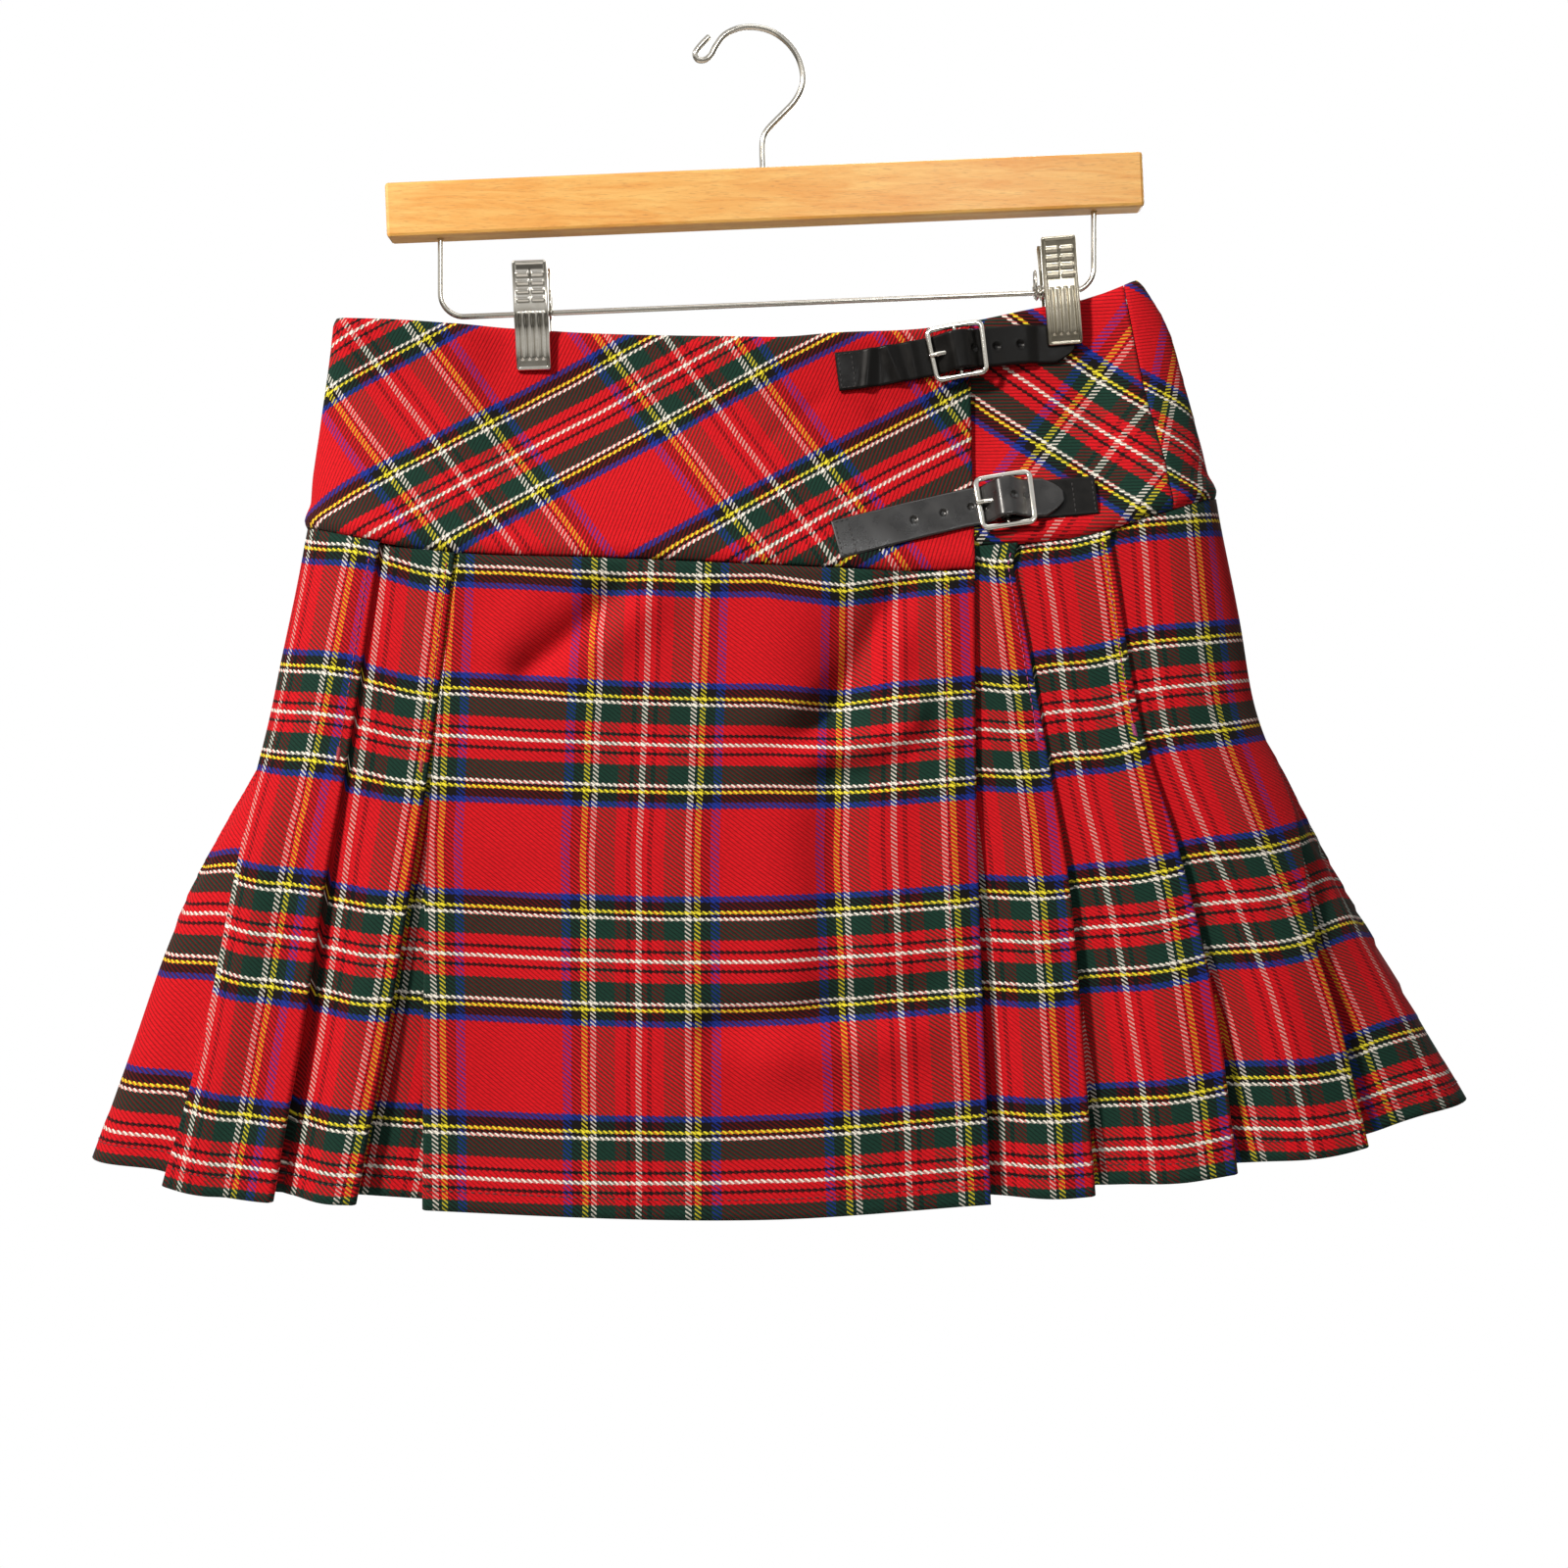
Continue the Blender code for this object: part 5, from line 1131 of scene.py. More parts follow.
def seamTurn(level):
    # Turned edges: the waist rolls in over its last few mm, the seam edge sits proud and dips in
    top = yoke["waistRoll"] * (1 - smoothStep(level / 0.03))
    stand = yoke["seamStand"] * smoothStep((level - 0.87) / 0.08)
    return stand - yoke["seamDip"] * smoothStep((level - 0.972) / 0.028) - top


def makeYokePiece(name, node, runs, level, insets, lay, outer=True):
    # Cloth on the form with its puckers and turned edges; lay gives its pattern's coordinates
    points = form.point(runs, level, insets)
    shift = creases(points, yoke["puckers"]) * (points[..., 1] < 0)
    if not outer:
        # Behind the wrap the cloth only gives way
        shift = np.minimum(shift, 0) * (1 - smoothStep((points[..., 0] - 98) / 12))
    points = pushOut(points, seamTurn(level / level[-1:]))
    points[..., 1] -= shift
    piece = clothShell(name, points, *lay(unrolled(runs, level, points)), yoke["cloth"], yokeTwill)
    finishPiece(piece, node)


def makeYoke():
    # Three pieces, each between two runs at every level from the waist edge to the seam
    share = np.linspace(0, 1, yoke["rows"])[:, None]
    wrapX = float(foldX("wrap", 1.0))

    # Front, from just behind the left side to the wrap's edge
    wrap = form.runOfX(np.full(share.shape, wrapX), share)
    runs = -yoke["seamBehind"] + (wrap + yoke["seamBehind"]) * np.linspace(0, 1, yoke["frontColumns"])
    makeYokePiece("kilt_yoke_front", "yoke_front", runs, share + 0 * runs, 0 * runs,
                  lambda flat: biasLay(flat, yoke["frontUp"], yoke["frontAcross"]))

    # Right front under the wrap, to the side seam; its own lower edge is found by a first guess
    side = form.runOfX(np.interp(share, *yoke["sideSeam"]), share)
    start = form.runOfX(np.full(share.shape, yoke["underEnd"]), share)
    t = np.linspace(0, 1, yoke["underColumns"])
    guess = start + (side - start) * t
    level = share * underSeam(form.at(guess / form.lengthAt(share), share + 0 * guess)[0])
    start = form.runOfX(np.full(level.shape, yoke["underEnd"]), level)
    runs = start + (form.runOfX(np.interp(level, *yoke["sideSeam"]), level) - start) * t
    x = form.at(runs / form.lengthAt(level), level)[0]
    insets = yoke["underDepth"] * (1 - smoothStep((x - wrapX - 3) / 24))
    makeYokePiece("kilt_yoke_right", "yoke_side", runs, level, insets,
                  lambda flat: biasLay(flat, yoke["underUp"], yoke["underAcross"]), outer=False)

    # Side and back, from the side seam round to the left side
    length = form.lengthAt(share)
    begin = side + yoke["seamGap"]
    end = 2 * length - yoke["seamBehind"] - yoke["seamGap"]
    runs = begin + (end - begin) * np.linspace(0, 1, yoke["backColumns"])

    def backLay(flat):
        # The side's lay up to a seam 30 mm round the edge, then chevrons about the back's middle
        chevrons = flat.copy()
        chevrons[..., 0] = np.abs(runs - 1.5 * length)
        pairs = zip(biasLay(chevrons, yoke["backUp"], yoke["backAcross"]),
                    biasLay(flat, yoke["sideUp"], yoke["sideAcross"]))
        return [np.where(runs > length + 30, back, aside) for back, aside in pairs]
    makeYokePiece("kilt_yoke_back", "yoke_back", runs, share + 0 * runs, 0 * runs, backLay)


makeYoke()
print("yoke hung")


# Straps, tabs and buckles

straps = {
    "width": 18.0, "thick": 1.6, "clear": 0.35, "edge": 0.45, "yokeWall": 1.4,
    "upper": {"x": [38, 52.3, 73.4, 94.5, 112.8, 124.2, 150.7],
              "z": [-163.4, -161.5, -157.4, -152.9, -150.4, -149.2, -148.2],
              "sewn": 38.4, "buckle": 94.5, "tip": 150.4, "tabEnd": 127.5, "holes": [101.4, 113.0, 124.4]},
    "lower": {"x": [37, 72.5, 86.5, 99.6, 116.3, 143.4, 159],
              "z": [-243.6, -234.4, -231.0, -228.0, -225.8, -223.6, -222.4],
              "sewn": 37.7, "buckle": 116.3, "tip": 143.0, "tabEnd": 158.3,
              "holes": [73.6, 87.4, 100.4, 119.8]},
    # Each hole is a pit with a raised lip: radius of the pit, depth as a share, lip's height and radius
    "hole": {"radius": 1.7, "depth": 0.75, "lip": 0.12, "lipRadius": 2.1},
    "buckleLength": 27.0, "buckleHeight": 26.0, "middleBar": 2.0, "thickBar": 2.0, "frameCorner": 2.6,
    "frameWide": 1.3, "frameDeep": 1.0, "barInset": 1.2,
    # How far the buckle's left, middle and right bars stand above the cloth
    "rise": {"left": 3.2, "middle": 4.4, "right": 5.8}, "prongThick": 1.2,
    # Crumples of the upper strap: height, place after its sewn end, slant, width
    "crumples": [(1.5, 14.5, 0.25, 2.6), (-0.55, 20.0, 0.2, 2.0), (1.7, 26.5, -0.22, 2.8),
                 (-0.5, 32.0, -0.1, 2.0), (0.8, 36.0, 0.0, 2.0)],
}


class StrapTrack:
    # Middle line of a strap on the yoke's face; a point is run along, across, and out from it
    def __init__(self, strap):
        self.xs = np.linspace(strap["x"][0], strap["x"][-1], 600)
        self.zs = curveThrough(strap["x"], strap["z"], self.xs)
        self.runs = np.concatenate([[0.0], np.cumsum(np.hypot(np.diff(self.xs), np.diff(self.zs)))])

    def runOf(self, x):
        # Distance along the strap to an x
        return float(np.interp(x, self.xs, self.runs))

    def surface(self, x, z):
        # Middle of the yoke's wall at an x and z
        level = np.clip(levelOfHeight(x, z), 0, 1)
        return np.stack([x, -halfDepth(x, level), z], -1)

    def point(self, run, across, out):
        run, across, out = np.broadcast_arrays(*(np.asarray(v, float) for v in (run, across, out)))
        beyond = run - np.clip(run, self.runs[0], self.runs[-1])
        x = np.interp(run, self.runs, self.xs)
        z = np.interp(run, self.runs, self.zs)
        ax, az = np.interp(run + 3, self.runs, self.xs), np.interp(run + 3, self.runs, self.zs)
        bx, bz = np.interp(run - 3, self.runs, self.xs), np.interp(run - 3, self.runs, self.zs)
        size = np.maximum(np.hypot(ax - bx, az - bz), 1e-9)
        wx, wz = (ax - bx) / size, (az - bz) / size
        px, pz = x + wx * beyond - wz * across, z + wz * beyond + wx * across
        spot = self.surface(px, pz)
        side = self.surface(px + 2, pz) - self.surface(px - 2, pz)
        rise = self.surface(px, pz + 2) - self.surface(px, pz - 2)
        normal = np.cross(side, rise)
        normal /= np.linalg.norm(normal, axis=-1, keepdims=True)
        normal = np.where(normal[..., 1:2] > 0, -normal, normal)
        return spot + normal * (straps["yokeWall"] / 2 + out[..., None])


def smoothProfile(profile, step, passes=3):
    # Points every step mm along the profile, corners eased by repeated averaging
    p = np.asarray(profile, float)
    run = np.concatenate([[0.0], np.cumsum(np.hypot(*np.diff(p, axis=0).T))])
    at = np.linspace(0, run[-1], max(int(run[-1] / step), 4))
    q = np.stack([np.interp(at, run, p[:, 0]), np.interp(at, run, p[:, 1])], -1)
    for _ in range(passes):
        q[1:-1] = (q[:-2] + 2 * q[1:-1] + q[2:]) / 4
    return q


def leatherStrip(name, track, line, width, thick, finish, holes=(), wrinkles=None):
    # The folded line of run and height is given a rounded flat section; holes are sunk pits
    way = np.gradient(line, axis=0)
    way /= np.linalg.norm(way, axis=1, keepdims=True)
    side = np.stack([-way[:, 1], way[:, 0]], -1)
    wide = np.broadcast_to(np.asarray(width, float), (len(line),))[:, None]
    a = np.linspace(-0.5, 0.5, 31)[None] * wide
    fromEdge = np.clip((wide / 2 - np.abs(a)) / straps["edge"], 0, 1)
    crown = straps["edge"] * (1 - np.sqrt(np.clip(1 - (1 - fromEdge) ** 2, 0, 1)))
    raised = thick / 2 - crown
    if wrinkles is not None:
        raised = raised + wrinkles(line[:, :1] + 0 * a, a)
    hole = straps["hole"]
    for centre in holes:
        r = np.hypot(line[:, :1] - centre, a)
        lip = hole["lip"] * np.exp(-((r - hole["lipRadius"]) / 0.35) ** 2)
        raised = raised - thick * hole["depth"] * smoothStep((hole["radius"] - r) / 0.5) + lip
    bottom = -thick / 2 + crown * 0.6
    top, low = (track.point(line[:, :1] + side[:, :1] * lift, a, line[:, 1:] + side[:, 1:] * lift)
                for lift in (raised, bottom))
    points = np.concatenate([top.reshape(-1, 3), low.reshape(-1, 3)])
    thing = addMesh(name, points, shellQuads(*top.shape[:2])[:, ::-1], finish)
    turnOut(thing)
    return thing


def turnOut(thing):
    # Faces of a closed shell turned outward
    work = bmesh.new()
    work.from_mesh(thing.data)
    bmesh.ops.recalc_face_normals(work, faces=work.faces)
    work.to_mesh(thing.data)
    work.free()


def strapWrinkles(key, sewn, leftBar):
    # Height of the leather over its plain face, at a run and a distance across: a slow ripple on
    # the lower strap, and a sum of slanting bells on the upper one, up to the buckle
    def ripple(run, a):
        ends = smoothStep((run - sewn - 12) / 10) * smoothStep((leftBar - run) / 10)
        return 0.12 * np.sin(run * 0.35 + a * 0.2) * ends

    def crumple(run, a):
        shape = sum(height * np.exp(-((run - sewn - place - slant * a) / width) ** 2)
                    for height, place, slant, width in straps["crumples"])
        return shape * 0.9 * smoothStep((leftBar - 1 - run) / 3)
    return ripple if key == "lower" else crumple


def makeClosure(key):
    # Strap, tab, buckle, prong and stitches, on one set of runs and heights along the track
    place = straps[key]
    track = StrapTrack(place)
    thick, clear, rise = straps["thick"], straps["clear"], straps["rise"]
    lay = clear + thick / 2
    centre = track.runOf(place["buckle"])
    leftBar = centre - straps["buckleLength"] / 2 + straps["barInset"]
    rightBar = centre + straps["buckleLength"] / 2 - straps["barInset"]
    middle = math.hypot(straps["middleBar"], straps["thickBar"]) / 2
    loop = middle + clear * 0.8 + thick / 2
    sewn, tip, tabEnd = (track.runOf(place[n]) for n in ("sewn", "tip", "tabEnd"))

    # The strap climbs over the middle bar and the tab's loop, and dives under the right bar
    crest = rise["middle"] + loop + thick + clear
    under = rise["right"] - straps["thickBar"] / 2 - clear - thick / 2
    tabTop = lay + thick + clear
    strap = [(sewn, lay), (leftBar + 2.0, lay), (centre - 4.8, crest - 2.6), (centre - 2.6, crest),
             (centre + 3.0, crest), (centre + 5.4, crest - 2.2), (rightBar - 3.2, under),
             (rightBar + 2.0, under)]
    if tip > tabEnd:
        strap += [(tabEnd + 1.2, tabTop), (tabEnd + 5.0, lay), (tip, lay)]
    else:
        strap += [(rightBar + 6.0, tabTop), (tip, tabTop)]
    line = smoothProfile(strap, 0.55, 6)
    rounded = np.sqrt(np.clip((tip + 0.6 - line[:, 0]) / 9.5, 0.02, 1.0))
    # The lower strap takes the lighter, glossier copy of the leather, a painted highlight
    piece = leatherStrip("strap_" + key + "_leather", track, line, straps["width"] * rounded, thick,
                         litLeather if key == "lower" else blackLeather,
                         [track.runOf(x) for x in place["holes"]], strapWrinkles(key, sewn, leftBar))
    finishPiece(piece, "strap_" + key)

    # The tab lies under the strap and turns back round the middle bar
    angle = -math.pi / 2 - math.pi * np.linspace(0, 1, 14)
    tab = [(tabEnd, lay), (centre + 9.0, lay), (centre + 4.0, rise["middle"] - loop)]
    tab += list(zip(centre + loop * np.cos(angle), rise["middle"] + loop * np.sin(angle)))
    tab.append((centre + 1.2, rise["middle"] + loop))
    piece = leatherStrip("tab_" + key + "_leather", track, smoothProfile(tab, 0.6, 1), straps["width"],
                         thick, blackLeather)
    finishPiece(piece, "buckle_tab_" + key)

    makeBuckle(key, track, centre)
    makeProng(key, track, centre, leftBar, middle)
    stitchStrap(key, track, sewn, tabEnd, lay + thick / 2 + 0.02)


def makeProng(key, track, centre, leftBar, middle):
    # A wire that rests on the left bar and is hooked round the middle one, thinner at its point
    thick, clear, rise = straps["prongThick"], straps["clear"], straps["rise"]
    shank = thick / 2 + clear * 0.8 + middle
    rest = rise["left"] + straps["thickBar"] / 2 + clear + thick / 2
    angle = math.pi * 0.86 - math.pi * 1.55 * np.linspace(0, 1, 12)
    prong = [(leftBar - 1.4, rest), (leftBar + 2.6, rest), (centre - 4.2, rise["middle"] + 0.6)]
    prong += list(zip(centre + shank * np.cos(angle), rise["middle"] + shank * np.sin(angle)))
    p = smoothProfile(prong, 0.5, 2)
    radius = np.interp(p[:, 0], [leftBar - 1.4, leftBar + 2], [0.75, 1.15])
    piece = tubeMesh("prong_" + key + "_wire", track.point(p[:, 0], 0.0, p[:, 1]), radius, brightNickel, 14,
                     side=(0.05, 0.2, 1.0))
    finishPiece(piece, "prong_" + key)


def makeBuckle(key, track, centre):
    # A rounded flat bar carried round a square with soft corners, tipped out to the right
    half, tall = straps["buckleLength"] / 2 - 1.25, straps["buckleHeight"] / 2 - 1.25
    corner, rise = straps["frameCorner"], straps["rise"]
    turn = np.linspace(0, math.pi / 2, 7)
    ring = []
    for quarter, (sideX, sideY) in enumerate(((1, 1), (-1, 1), (-1, -1), (1, -1))):
        angle = turn + quarter * math.pi / 2
        ring.append(np.stack([sideX * (half - corner) + corner * np.cos(angle),
                              sideY * (tall - corner) + corner * np.sin(angle)], -1))
    loop = np.concatenate(ring + [ring[0][:1]])
    run = np.concatenate([[0.0], np.cumsum(np.hypot(*np.diff(loop, axis=0).T))])
    at = np.linspace(0, run[-1], 121)[:-1]
    px, py = np.interp(at, run, loop[:, 0]), np.interp(at, run, loop[:, 1])
    out = np.interp(px, [-half, 0, half], [rise["left"], rise["middle"], rise["right"]])

    # Section: a superellipse, wider in the plane of the frame than it is thick
    sides = 14
    section = np.linspace(0, 2 * math.pi, sides, endpoint=False)
    waves = ((straps["frameWide"], np.cos(section)), (straps["frameDeep"], np.sin(section)))
    wide, deep = (size * np.sign(wave) * np.abs(wave) ** 0.75 for size, wave in waves)
    tx, ty = np.roll(px, -1) - np.roll(px, 1), np.roll(py, -1) - np.roll(py, 1)
    size = np.hypot(tx, ty)
    nx, ny = ty / size, -tx / size
    points = track.point(centre + px[:, None] + nx[:, None] * wide, py[:, None] + ny[:, None] * wide,
                         out[:, None] + deep[None])
    frame = np.concatenate([points, points[:1]]).reshape(-1, 3)

    # The middle bar, round, between the frame's two long sides
    barAt = np.linspace(-tall + 0.3, tall - 0.3, 30)[:, None]
    barSides = 12
    barTurn = np.linspace(0, 2 * math.pi, barSides, endpoint=False)[None]
    bar = track.point(centre + np.cos(barTurn) + 0 * barAt, barAt + 0 * barTurn,
                      rise["middle"] + np.sin(barTurn))
    first = len(frame)
    last = first + (len(barAt) - 1) * barSides
    ends = [tuple(range(start, start + barSides)) for start in (first, last)]
    quads = np.concatenate([gridQuads(len(px) + 1, sides, True),
                            gridQuads(len(barAt), barSides, True, first)])
    piece = meshFromPolygons("buckle_" + key + "_frame", np.concatenate([frame, bar.reshape(-1, 3)]), quads,
                             ends, brightNickel)
    finishPiece(piece, "buckle_" + key)


def stitchStrap(key, track, sewn, tabEnd, top):
    # A row across each sewn end and a short row along its two edges
    starts, ends = [], []
    half = straps["width"] / 2 - 1.2
    length, pitch = 1.8, 2.5
    rows = [sewn + 1.3, sewn + 7.6] + ([tabEnd - 1.3, tabEnd - 10.5] if key == "lower" else [])
    for run in rows:
        for mark in np.arange(-half, half - 1.0, pitch):
            starts.append((run, mark, top))
            ends.append((run, mark + length, top))
    for edge in (-half, half):
        for run in np.arange(sewn + 1.3, sewn + 6.4, pitch):
            starts.append((run, edge, top))
            ends.append((run + length, edge, top))
    starts = np.array(starts).T
    a = track.point(*starts)
    lifted = track.point(starts[0], starts[1], starts[2] + 1.0) - a
    b = track.point(*np.array(ends).T)
    finishPiece(stitchGroup("stitches_strap_" + key, a, b, lifted, 0.28, blackThread))


for strapKey in ("upper", "lower"):
    makeClosure(strapKey)
print("straps fastened")


# Hanger

hanger = {
    "hook": [(-21.6, -3.2), (-25.4, -7.0), (-28.0, -10.8), (-26.8, -13.8), (-23.4, -13.9), (-20.6, -11.6),
             (-18.2, -7.2), (-14.2, -2.2), (-7.6, 0.9), (0.0, 1.45), (8.2, -0.6), (15.2, -5.6),
             (20.2, -12.4), (22.6, -20.2), (22.2, -26.6), (18.6, -33.6), (12.2, -40.4), (6.4, -46.4),
             (4.0, -51.0), (3.6, -58.0), (4.2, -72.0), (4.9, -88.0)],
    "hookWire": 2.9, "wire": 2.6, "barCentre": (4.7, -79.1), "barHeight": 25.8, "tilt": 2.37,
    "left": -148.2, "right": 159.9, "lowLeft": -135.6, "lowRight": -122.8, "corner": 11.0, "seated": 14.0,
}


def barUnder(x):
    # Height of the tilted bar's underside over an x
    tilt = math.radians(hanger["tilt"])
    middleX, middleZ = hanger["barCentre"]
    return middleZ - hanger["barHeight"] / 2 / math.cos(tilt) + (x - middleX) * math.tan(tilt)


def inPlane(line):
    # Points of x and z laid in the plane of the hanger
    line = np.asarray(line, float)
    return np.stack([line[:, 0], 0 * line[:, 0], line[:, 1]], -1)


def makeHook():
    # Round wire along a smooth line, from its curled tip over the crown and down into the bar
    path = inPlane(splineThrough(hanger["hook"], 8))
    piece = tubeMesh("hook_wire", path, hanger["hookWire"] / 2, hookNickel, 24)
    finishPiece(piece, "hanger_hook")


def makeWire():
    # Down from the bar, round a corner, along the lower run, round the other corner and up
    left, right, radius, seated = (hanger[n] for n in ("left", "right", "corner", "seated"))
    low, high = np.array([left, hanger["lowLeft"]]), np.array([right, hanger["lowRight"]])
    lift = math.atan2(high[1] - low[1], high[0] - low[0])

    def bend(corner, inward, start, end):
        # Arc that meets both straight runs in line
        centre = corner + np.array([inward * radius, radius * math.tan((end - start) / 2)])
        angle = np.linspace(start, end, 12)
        return list(zip(centre[0] + radius * np.cos(angle), centre[1] + radius * np.sin(angle)))
    line = [(left, barUnder(left) + seated)]
    line += [(left, z) for z in np.linspace(barUnder(left), low[1] + radius + 2, 6)]
    line += bend(low, 1, math.pi, 1.5 * math.pi + lift)
    first = np.array(line[-1])
    target = high - (high - low) / np.linalg.norm(high - low) * radius
    line += [tuple(first + (target - first) * s) for s in np.linspace(0.06, 0.97, 18)]
    line += bend(high, -1, 1.5 * math.pi + lift, 2 * math.pi)
    line += [(right, z) for z in np.linspace(high[1] + radius + 2, barUnder(right), 6)]
    line.append((right, barUnder(right) + seated))
    piece = tubeMesh("trapeze_wire", inPlane(line), hanger["wire"] / 2, hookNickel, 18)
    finishPiece(piece, "hanger_wire")


def finishBar():
    # The bar's CAD shape is right, so it only gets its wood
    for held in frame["nodes"]["hanger_bar"].material_slots:
        held.material = beech


clips = {
    "width": 16.5, "length": 50.5, "lever": 8.2, "springOuter": 3.7, "flange": 3.2, "metal": 1.0,
    # From the middle to a jaw's inside: half the pinched gap, half the yoke's wall, clearance
    "jaw": 0.95 + 0.7 + 0.35, "edgeRound": 1.1, "endRound": 0.9,
    # Pressed pattern: width of the rim, then rows of two short bars and flutes with a dimple
    "rim": 1.9, "bars": {"rows": 4, "first": 6.2, "pitch": 3.9, "half": 3.1, "aside": 3.45, "rise": 0.85},
    "flutes": {"count": 4, "first": 23.0, "pitch": 3.25, "short": 4.2, "dimple": 3.3},
    "coil": 3.1, "coilWire": 0.6, "turns": 7, "coilShort": 6.0, "coilLong": 2.0,
    "earOut": 1.2, "earUp": 4.2, "earTall": 6.2, "earWide": 3.0,
    "places": [
        {"name": "clip_left", "x": -105.4, "top": -110.6, "tilt": 1.9, "ear": 1, "grip": 0.0,
         "finish": brightNickel},
        # The right clip takes the darker copy of the nickel, a painted dark reflection
        {"name": "clip_right", "x": 141.9, "top": -99.2, "tilt": 4.6, "ear": -1, "grip": 1.9,
         "finish": shadedNickel},
    ],
}


def wireHeight(x):
    # Height of the wire's lower run at an x
    share = (x - hanger["left"]) / (hanger["right"] - hanger["left"])
    return hanger["lowLeft"] + (hanger["lowRight"] - hanger["lowLeft"]) * share


def clipRelief(a, d):
    # Height of the pressed pattern at a place across and down: the rim or the head and foot,
    # where they are higher, over the sum of bars, flutes, dimples and a step between them
    half, length = clips["width"] / 2, clips["length"]
    rim = 0.7 * smoothStep((np.abs(a) - (half - clips["rim"])) / 0.5)
    bars, flutes = clips["bars"], clips["flutes"]
    pattern = -0.5 * smoothStep((d - 20.5) / 1.2) * smoothStep((24 - d) / 1.2)
    for row in range(bars["rows"]):
        along = np.exp(-((d - bars["first"] - row * bars["pitch"]) / 0.85) ** 2)
        for side in (-1, 1):
            pattern = pattern + bars["rise"] * along * smoothStep(
                (bars["half"] - np.abs(a - side * bars["aside"])) / 0.5)
    run = smoothStep((d - flutes["first"]) / 1.4) * smoothStep((length - flutes["short"] - d) / 1.6)
    for k in range(flutes["count"]):
        aside = a - (k - (flutes["count"] - 1) / 2) * flutes["pitch"]
        pattern = pattern + run * np.exp(-(aside / 0.8) ** 2)
        pattern = pattern - 0.7 * np.exp(-((aside ** 2 + (d - (length - flutes["dimple"])) ** 2) / 0.45))
    head = 0.7 * smoothStep((1.8 - d) / 0.5) + 0.7 * smoothStep((d - (length - 1.5)) / 0.5)
    return np.maximum(np.maximum(rim, head), pattern)


def makeJaw(clip, side, suffix):
    # A pressed plate: its height out is a curve down its length, its corners are rounded by
    # quarter circles, and its edges are turned back as a flange. Side is -1 in front.
    angle = math.radians(clip["tilt"])
    down = np.array([math.sin(angle), 0.0, -math.cos(angle)])
    across = np.array([math.cos(angle), 0.0, math.sin(angle)])
    length, halfWidth = clips["length"], clips["width"] / 2
    hinge = (clip["top"] - wireHeight(clip["x"])) / math.cos(angle)
    jaw = clips["jaw"] + (clip["grip"] if side < 0 else 0.0)
    downs = [0.0, hinge * 0.5, hinge, hinge + 8.0, length - 6.0, length]
    outs = [clips["lever"], clips["lever"] - 1.6, clips["springOuter"] + clips["flange"] - 0.65,
            max(jaw + 2.4, clips["springOuter"] + 1.2), jaw + 1.7, jaw + 0.6]
    d = np.linspace(0, length, 150)[:, None]
    a = np.linspace(-1, 1, 62)[None] * halfWidth
    out = curveThrough(downs, outs, d)
    ends = np.minimum(d, length - d)

    def rounding(distance, radius):
        inside = 1 - np.clip(distance / radius, 0, 1)
        return radius * (1 - np.sqrt(np.clip(1 - inside ** 2, 0, 1)))
    fall = rounding(halfWidth - np.abs(a), clips["edgeRound"]) + rounding(ends, clips["endRound"])
    face = out + clips["metal"] - 0.2 + clipRelief(a + 0 * d, d + 0 * a) - fall
    pull = 1.0 - 0.05 * smoothStep((1.5 - ends) / 1.5)
    place = np.array([clip["x"], 0.0, clip["top"]]) + down * (d + 0 * a)[..., None]
    top = place + across * (a * pull)[..., None]
    top[..., 1] = side * face
    flange = np.interp(d, downs, [0.6, 2.9, 2.2, 2.0, 1.2, 0.6])
    rimDepth = flange * smoothStep((np.abs(a) - (halfWidth - 1.2)) / 0.3)
    under = place + across * (a * pull * 0.985)[..., None]
    under[..., 1] = side * (out - 0.15 - rimDepth)
    points = np.concatenate([top.reshape(-1, 3), under.reshape(-1, 3)])
    piece = addMesh(clip["name"] + "_" + suffix + "_plate", points, shellQuads(*top.shape[:2]),
                    clip["finish"])
    turnOut(piece)
    finishPiece(piece, clip["name"] + "_" + suffix)


def makeSpring(clip):
    # Turns of wire round the trapeze wire, and an ear, a tall loop at one side
    slope = math.atan2(hanger["lowRight"] - hanger["lowLeft"], hanger["right"] - hanger["left"])
    way = np.array([math.cos(slope), 0.0, math.sin(slope)])
    up = np.array([-way[2], 0.0, way[0]])
    out = np.array([0.0, 1.0, 0.0])
    centre = np.array([clip["x"], 0.0, wireHeight(clip["x"])])
    t = np.linspace(0, 1, 170)
    spin = t * clips["turns"] * 2 * math.pi
    short, reach = clips["coilShort"], clips["width"] / 2 + clips["coilLong"]
    start, end = (-short, reach) if clip["ear"] > 0 else (-reach, short)
    path = (centre + way * (start + (end - start) * t)[:, None]
            + up * (clips["coil"] * np.cos(spin))[:, None] + out * (clips["coil"] * np.sin(spin))[:, None])
    coil = tubeMesh("coil", path, clips["coilWire"], hookNickel, 8, side=tuple(way))
    turn = np.linspace(0, 2 * math.pi, 40, endpoint=False)[:, None]
    path = (centre + way * clip["ear"] * (clips["width"] / 2 + clips["earOut"])
            + up * (clips["earUp"] + clips["earTall"] * np.cos(turn)) + out * clips["earWide"] * np.sin(turn))
    ear = tubeMesh("ear", path, clips["coilWire"], hookNickel, 8, side=tuple(way), closed=True)
    piece = joinPieces(clip["name"] + "_spring_coil", [coil, ear])
    finishPiece(piece, clip["name"] + "_spring")


def joinPieces(name, things):
    # Several meshes of one finish as one piece
    work = bmesh.new()
    finish = things[0].data.materials[0]
    for thing in things:
        work.from_mesh(thing.data)
    mesh = bpy.data.meshes.new(name)
    work.to_mesh(mesh)
    work.free()
    mesh.materials.append(finish)
    mesh.polygons.foreach_set("use_smooth", np.full(len(mesh.polygons), True))
    for thing in things:
        bpy.data.objects.remove(thing, do_unlink=True)
    made = bpy.data.objects.new(name, mesh)
    bpy.context.scene.collection.objects.link(made)
    return made


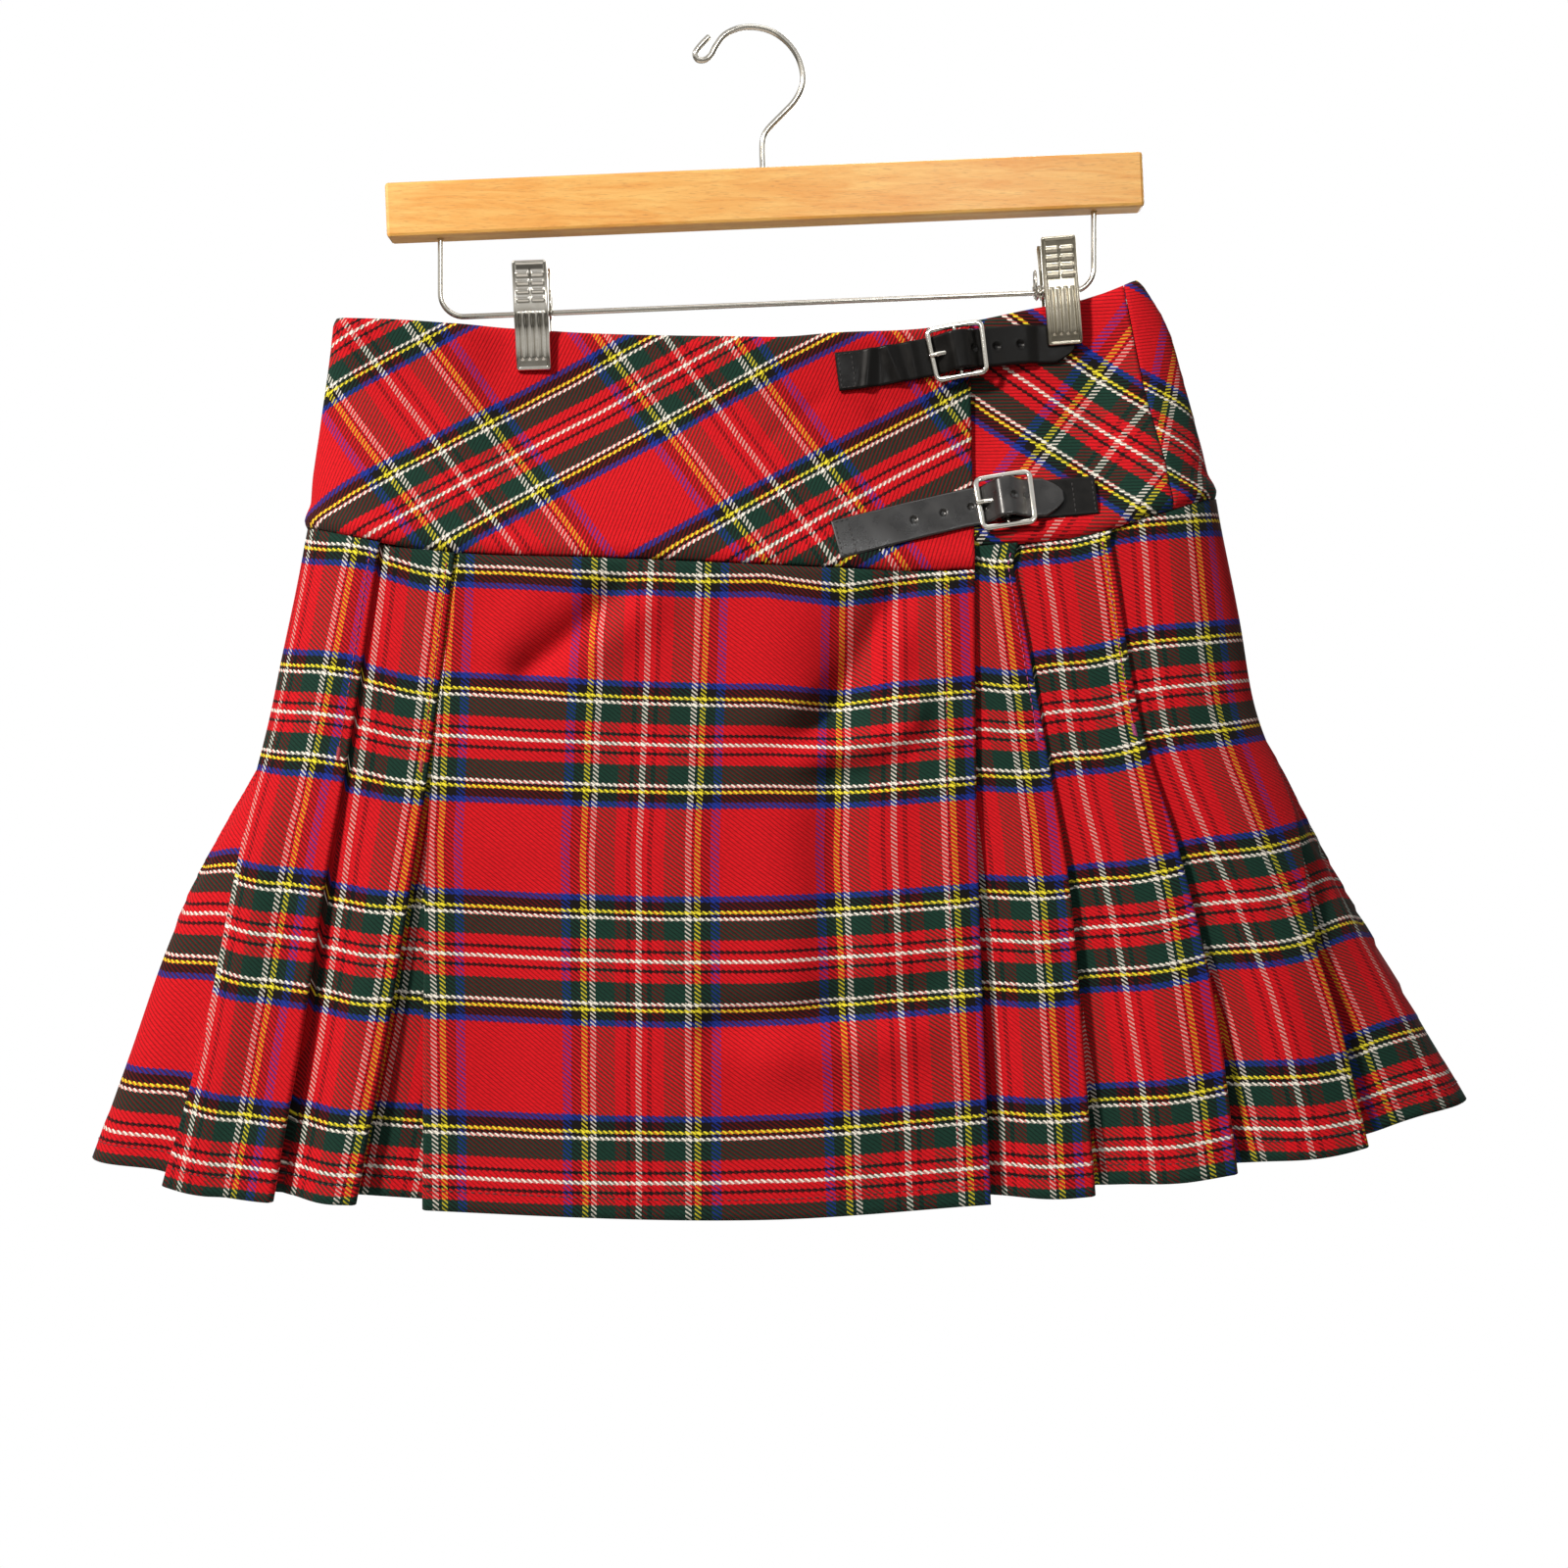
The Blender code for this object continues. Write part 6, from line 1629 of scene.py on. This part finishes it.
makeHook()
makeWire()
finishBar()
for oneClip in clips["places"]:
    makeJaw(oneClip, -1, "front")
    makeJaw(oneClip, 1, "rear")
    makeSpring(oneClip)
print("hanger made")


# Camera, light and floor

# The camera looks level along Y from 0.97 m, as the photo was taken
view = {"lens": 47.07, "place": (0.0138, -0.967, -0.3555)}
cameraData = bpy.data.cameras.new("camera")
cameraData.sensor_width = 36.0
cameraData.lens = view["lens"]
cameraData.clip_end = 30.0
camera = bpy.data.objects.new("camera", cameraData)
camera.location = view["place"]
camera.rotation_euler = (math.radians(90), 0, 0)
bpy.context.scene.collection.objects.link(camera)
bpy.context.scene.camera = camera

studio = {
    "key": {"place": (-1.45, -1.45, 0.95), "size": 0.28, "power": 64.0, "colour": "#FFF8F0"},
    "front": {"place": (0.3, -2.1, 0.5), "size": 0.4, "power": 5.0, "colour": "#FFFFFF"},
    "top": {"place": (0.1, -0.35, 1.15), "size": 0.7, "power": 3.0, "colour": "#FFFFFF"},
    "back": {"place": (0.5, 1.7, 0.4), "size": 1.4, "power": 26.0, "colour": "#FFFFFF"},
    "ambient": 0.04, "reflected": 0.75,
}


def addLamp(name, lamp):
    # A round soft light turned towards the middle of the kilt
    data = bpy.data.lights.new(name, "AREA")
    data.shape = "DISK"
    data.size = lamp["size"]
    data.energy = lamp["power"]
    data.color = hexColour(lamp["colour"])[:3]
    thing = bpy.data.objects.new(name, data)
    thing.location = lamp["place"]
    way = Vector((0.0, 0.0, -0.33)) - Vector(lamp["place"])
    thing.rotation_euler = way.to_track_quat("-Z", "Y").to_euler()
    bpy.context.scene.collection.objects.link(thing)


for lampName in ("key", "front", "top", "back"):
    addLamp(lampName + "_lamp", studio[lampName])

# The world is white to the camera. Polished metal mirrors the bands below, by height: a grey
# floor, a dark strip under eye height, white panels above; other light from it is faint.
world = bpy.data.worlds.new("studio")
bpy.context.scene.world = world
world.use_nodes = True
worldTree = world.node_tree
worldTree.nodes.clear()
worldOut = addNode(worldTree, "OutputWorld")
ray = addNode(worldTree, "LightPath")
direction = addNode(worldTree, "TexCoord").outputs["Generated"]
tall = addNode(worldTree, "SeparateXYZ", Vector=direction).outputs[2]
height = addNode(worldTree, "MapRange", Value=tall, i1=-1.0, i2=1.0)
sky = addNode(worldTree, "ValToRGB", Fac=height.outputs[0])
skyBands = ((0.0, "#8E8A84"), (0.40, "#A9A69F"), (0.46, "#34312D"), (0.50, "#B9B6B0"), (0.57, "#F1EFEA"),
            (0.8, "#FFFFFF"))
for place, colour in skyBands:
    stop = sky.color_ramp.elements[0] if place == 0.0 else sky.color_ramp.elements.new(place)
    stop.color = hexColour(colour)
sky.color_ramp.elements[-1].color = hexColour("#C9C7C2")
strength = addNode(worldTree, "Mix", {"data_type": "FLOAT"}, i0=ray.outputs["Is Glossy Ray"],
                   i2=studio["ambient"], i3=studio["reflected"])
lit = addNode(worldTree, "Background", Color=sky.outputs[0], Strength=strength.outputs[0])
seen = addNode(worldTree, "Background", Color=hexColour("#FFFFFF"), Strength=1.0)
mixWorld = addNode(worldTree, "MixShader", Fac=ray.outputs["Is Camera Ray"])
worldTree.links.new(lit.outputs[0], mixWorld.inputs[1])
worldTree.links.new(seen.outputs[0], mixWorld.inputs[2])
worldTree.links.new(mixWorld.outputs[0], worldOut.inputs[0])
bpy.context.scene.view_settings.view_transform = "Standard"

# Matt painted floor, with clouds of tone about 0.3 m across
ground = {"half": 1500.0, "height": -1500.0}
floorFinish, floorTree, floorShader = newFinish("pale painted floor")
floorPlace = addNode(floorTree, "TexCoord").outputs["Object"]
cloud = addNode(floorTree, "TexNoise", Vector=floorPlace, Scale=perMetre(333.33), Detail=2.0)
tone = addNode(floorTree, "Mix", {"data_type": "RGBA"}, i0=cloud.outputs["Fac"], i6=hexColour("#F4F3F1"),
               i7=hexColour("#FBFBFA"))
floorTree.links.new(tone.outputs["Result"], floorShader.inputs["Base Color"])
floorShader.inputs["Roughness"].default_value = 0.8
corners = [(x * ground["half"], y * ground["half"], ground["height"])
           for x, y in ((-1, -1), (1, -1), (1, 1), (-1, 1))]
floor = addMesh("floor", corners, [(0, 1, 2, 3)], floorFinish)
print("studio set")

bpy.context.view_layer.update()
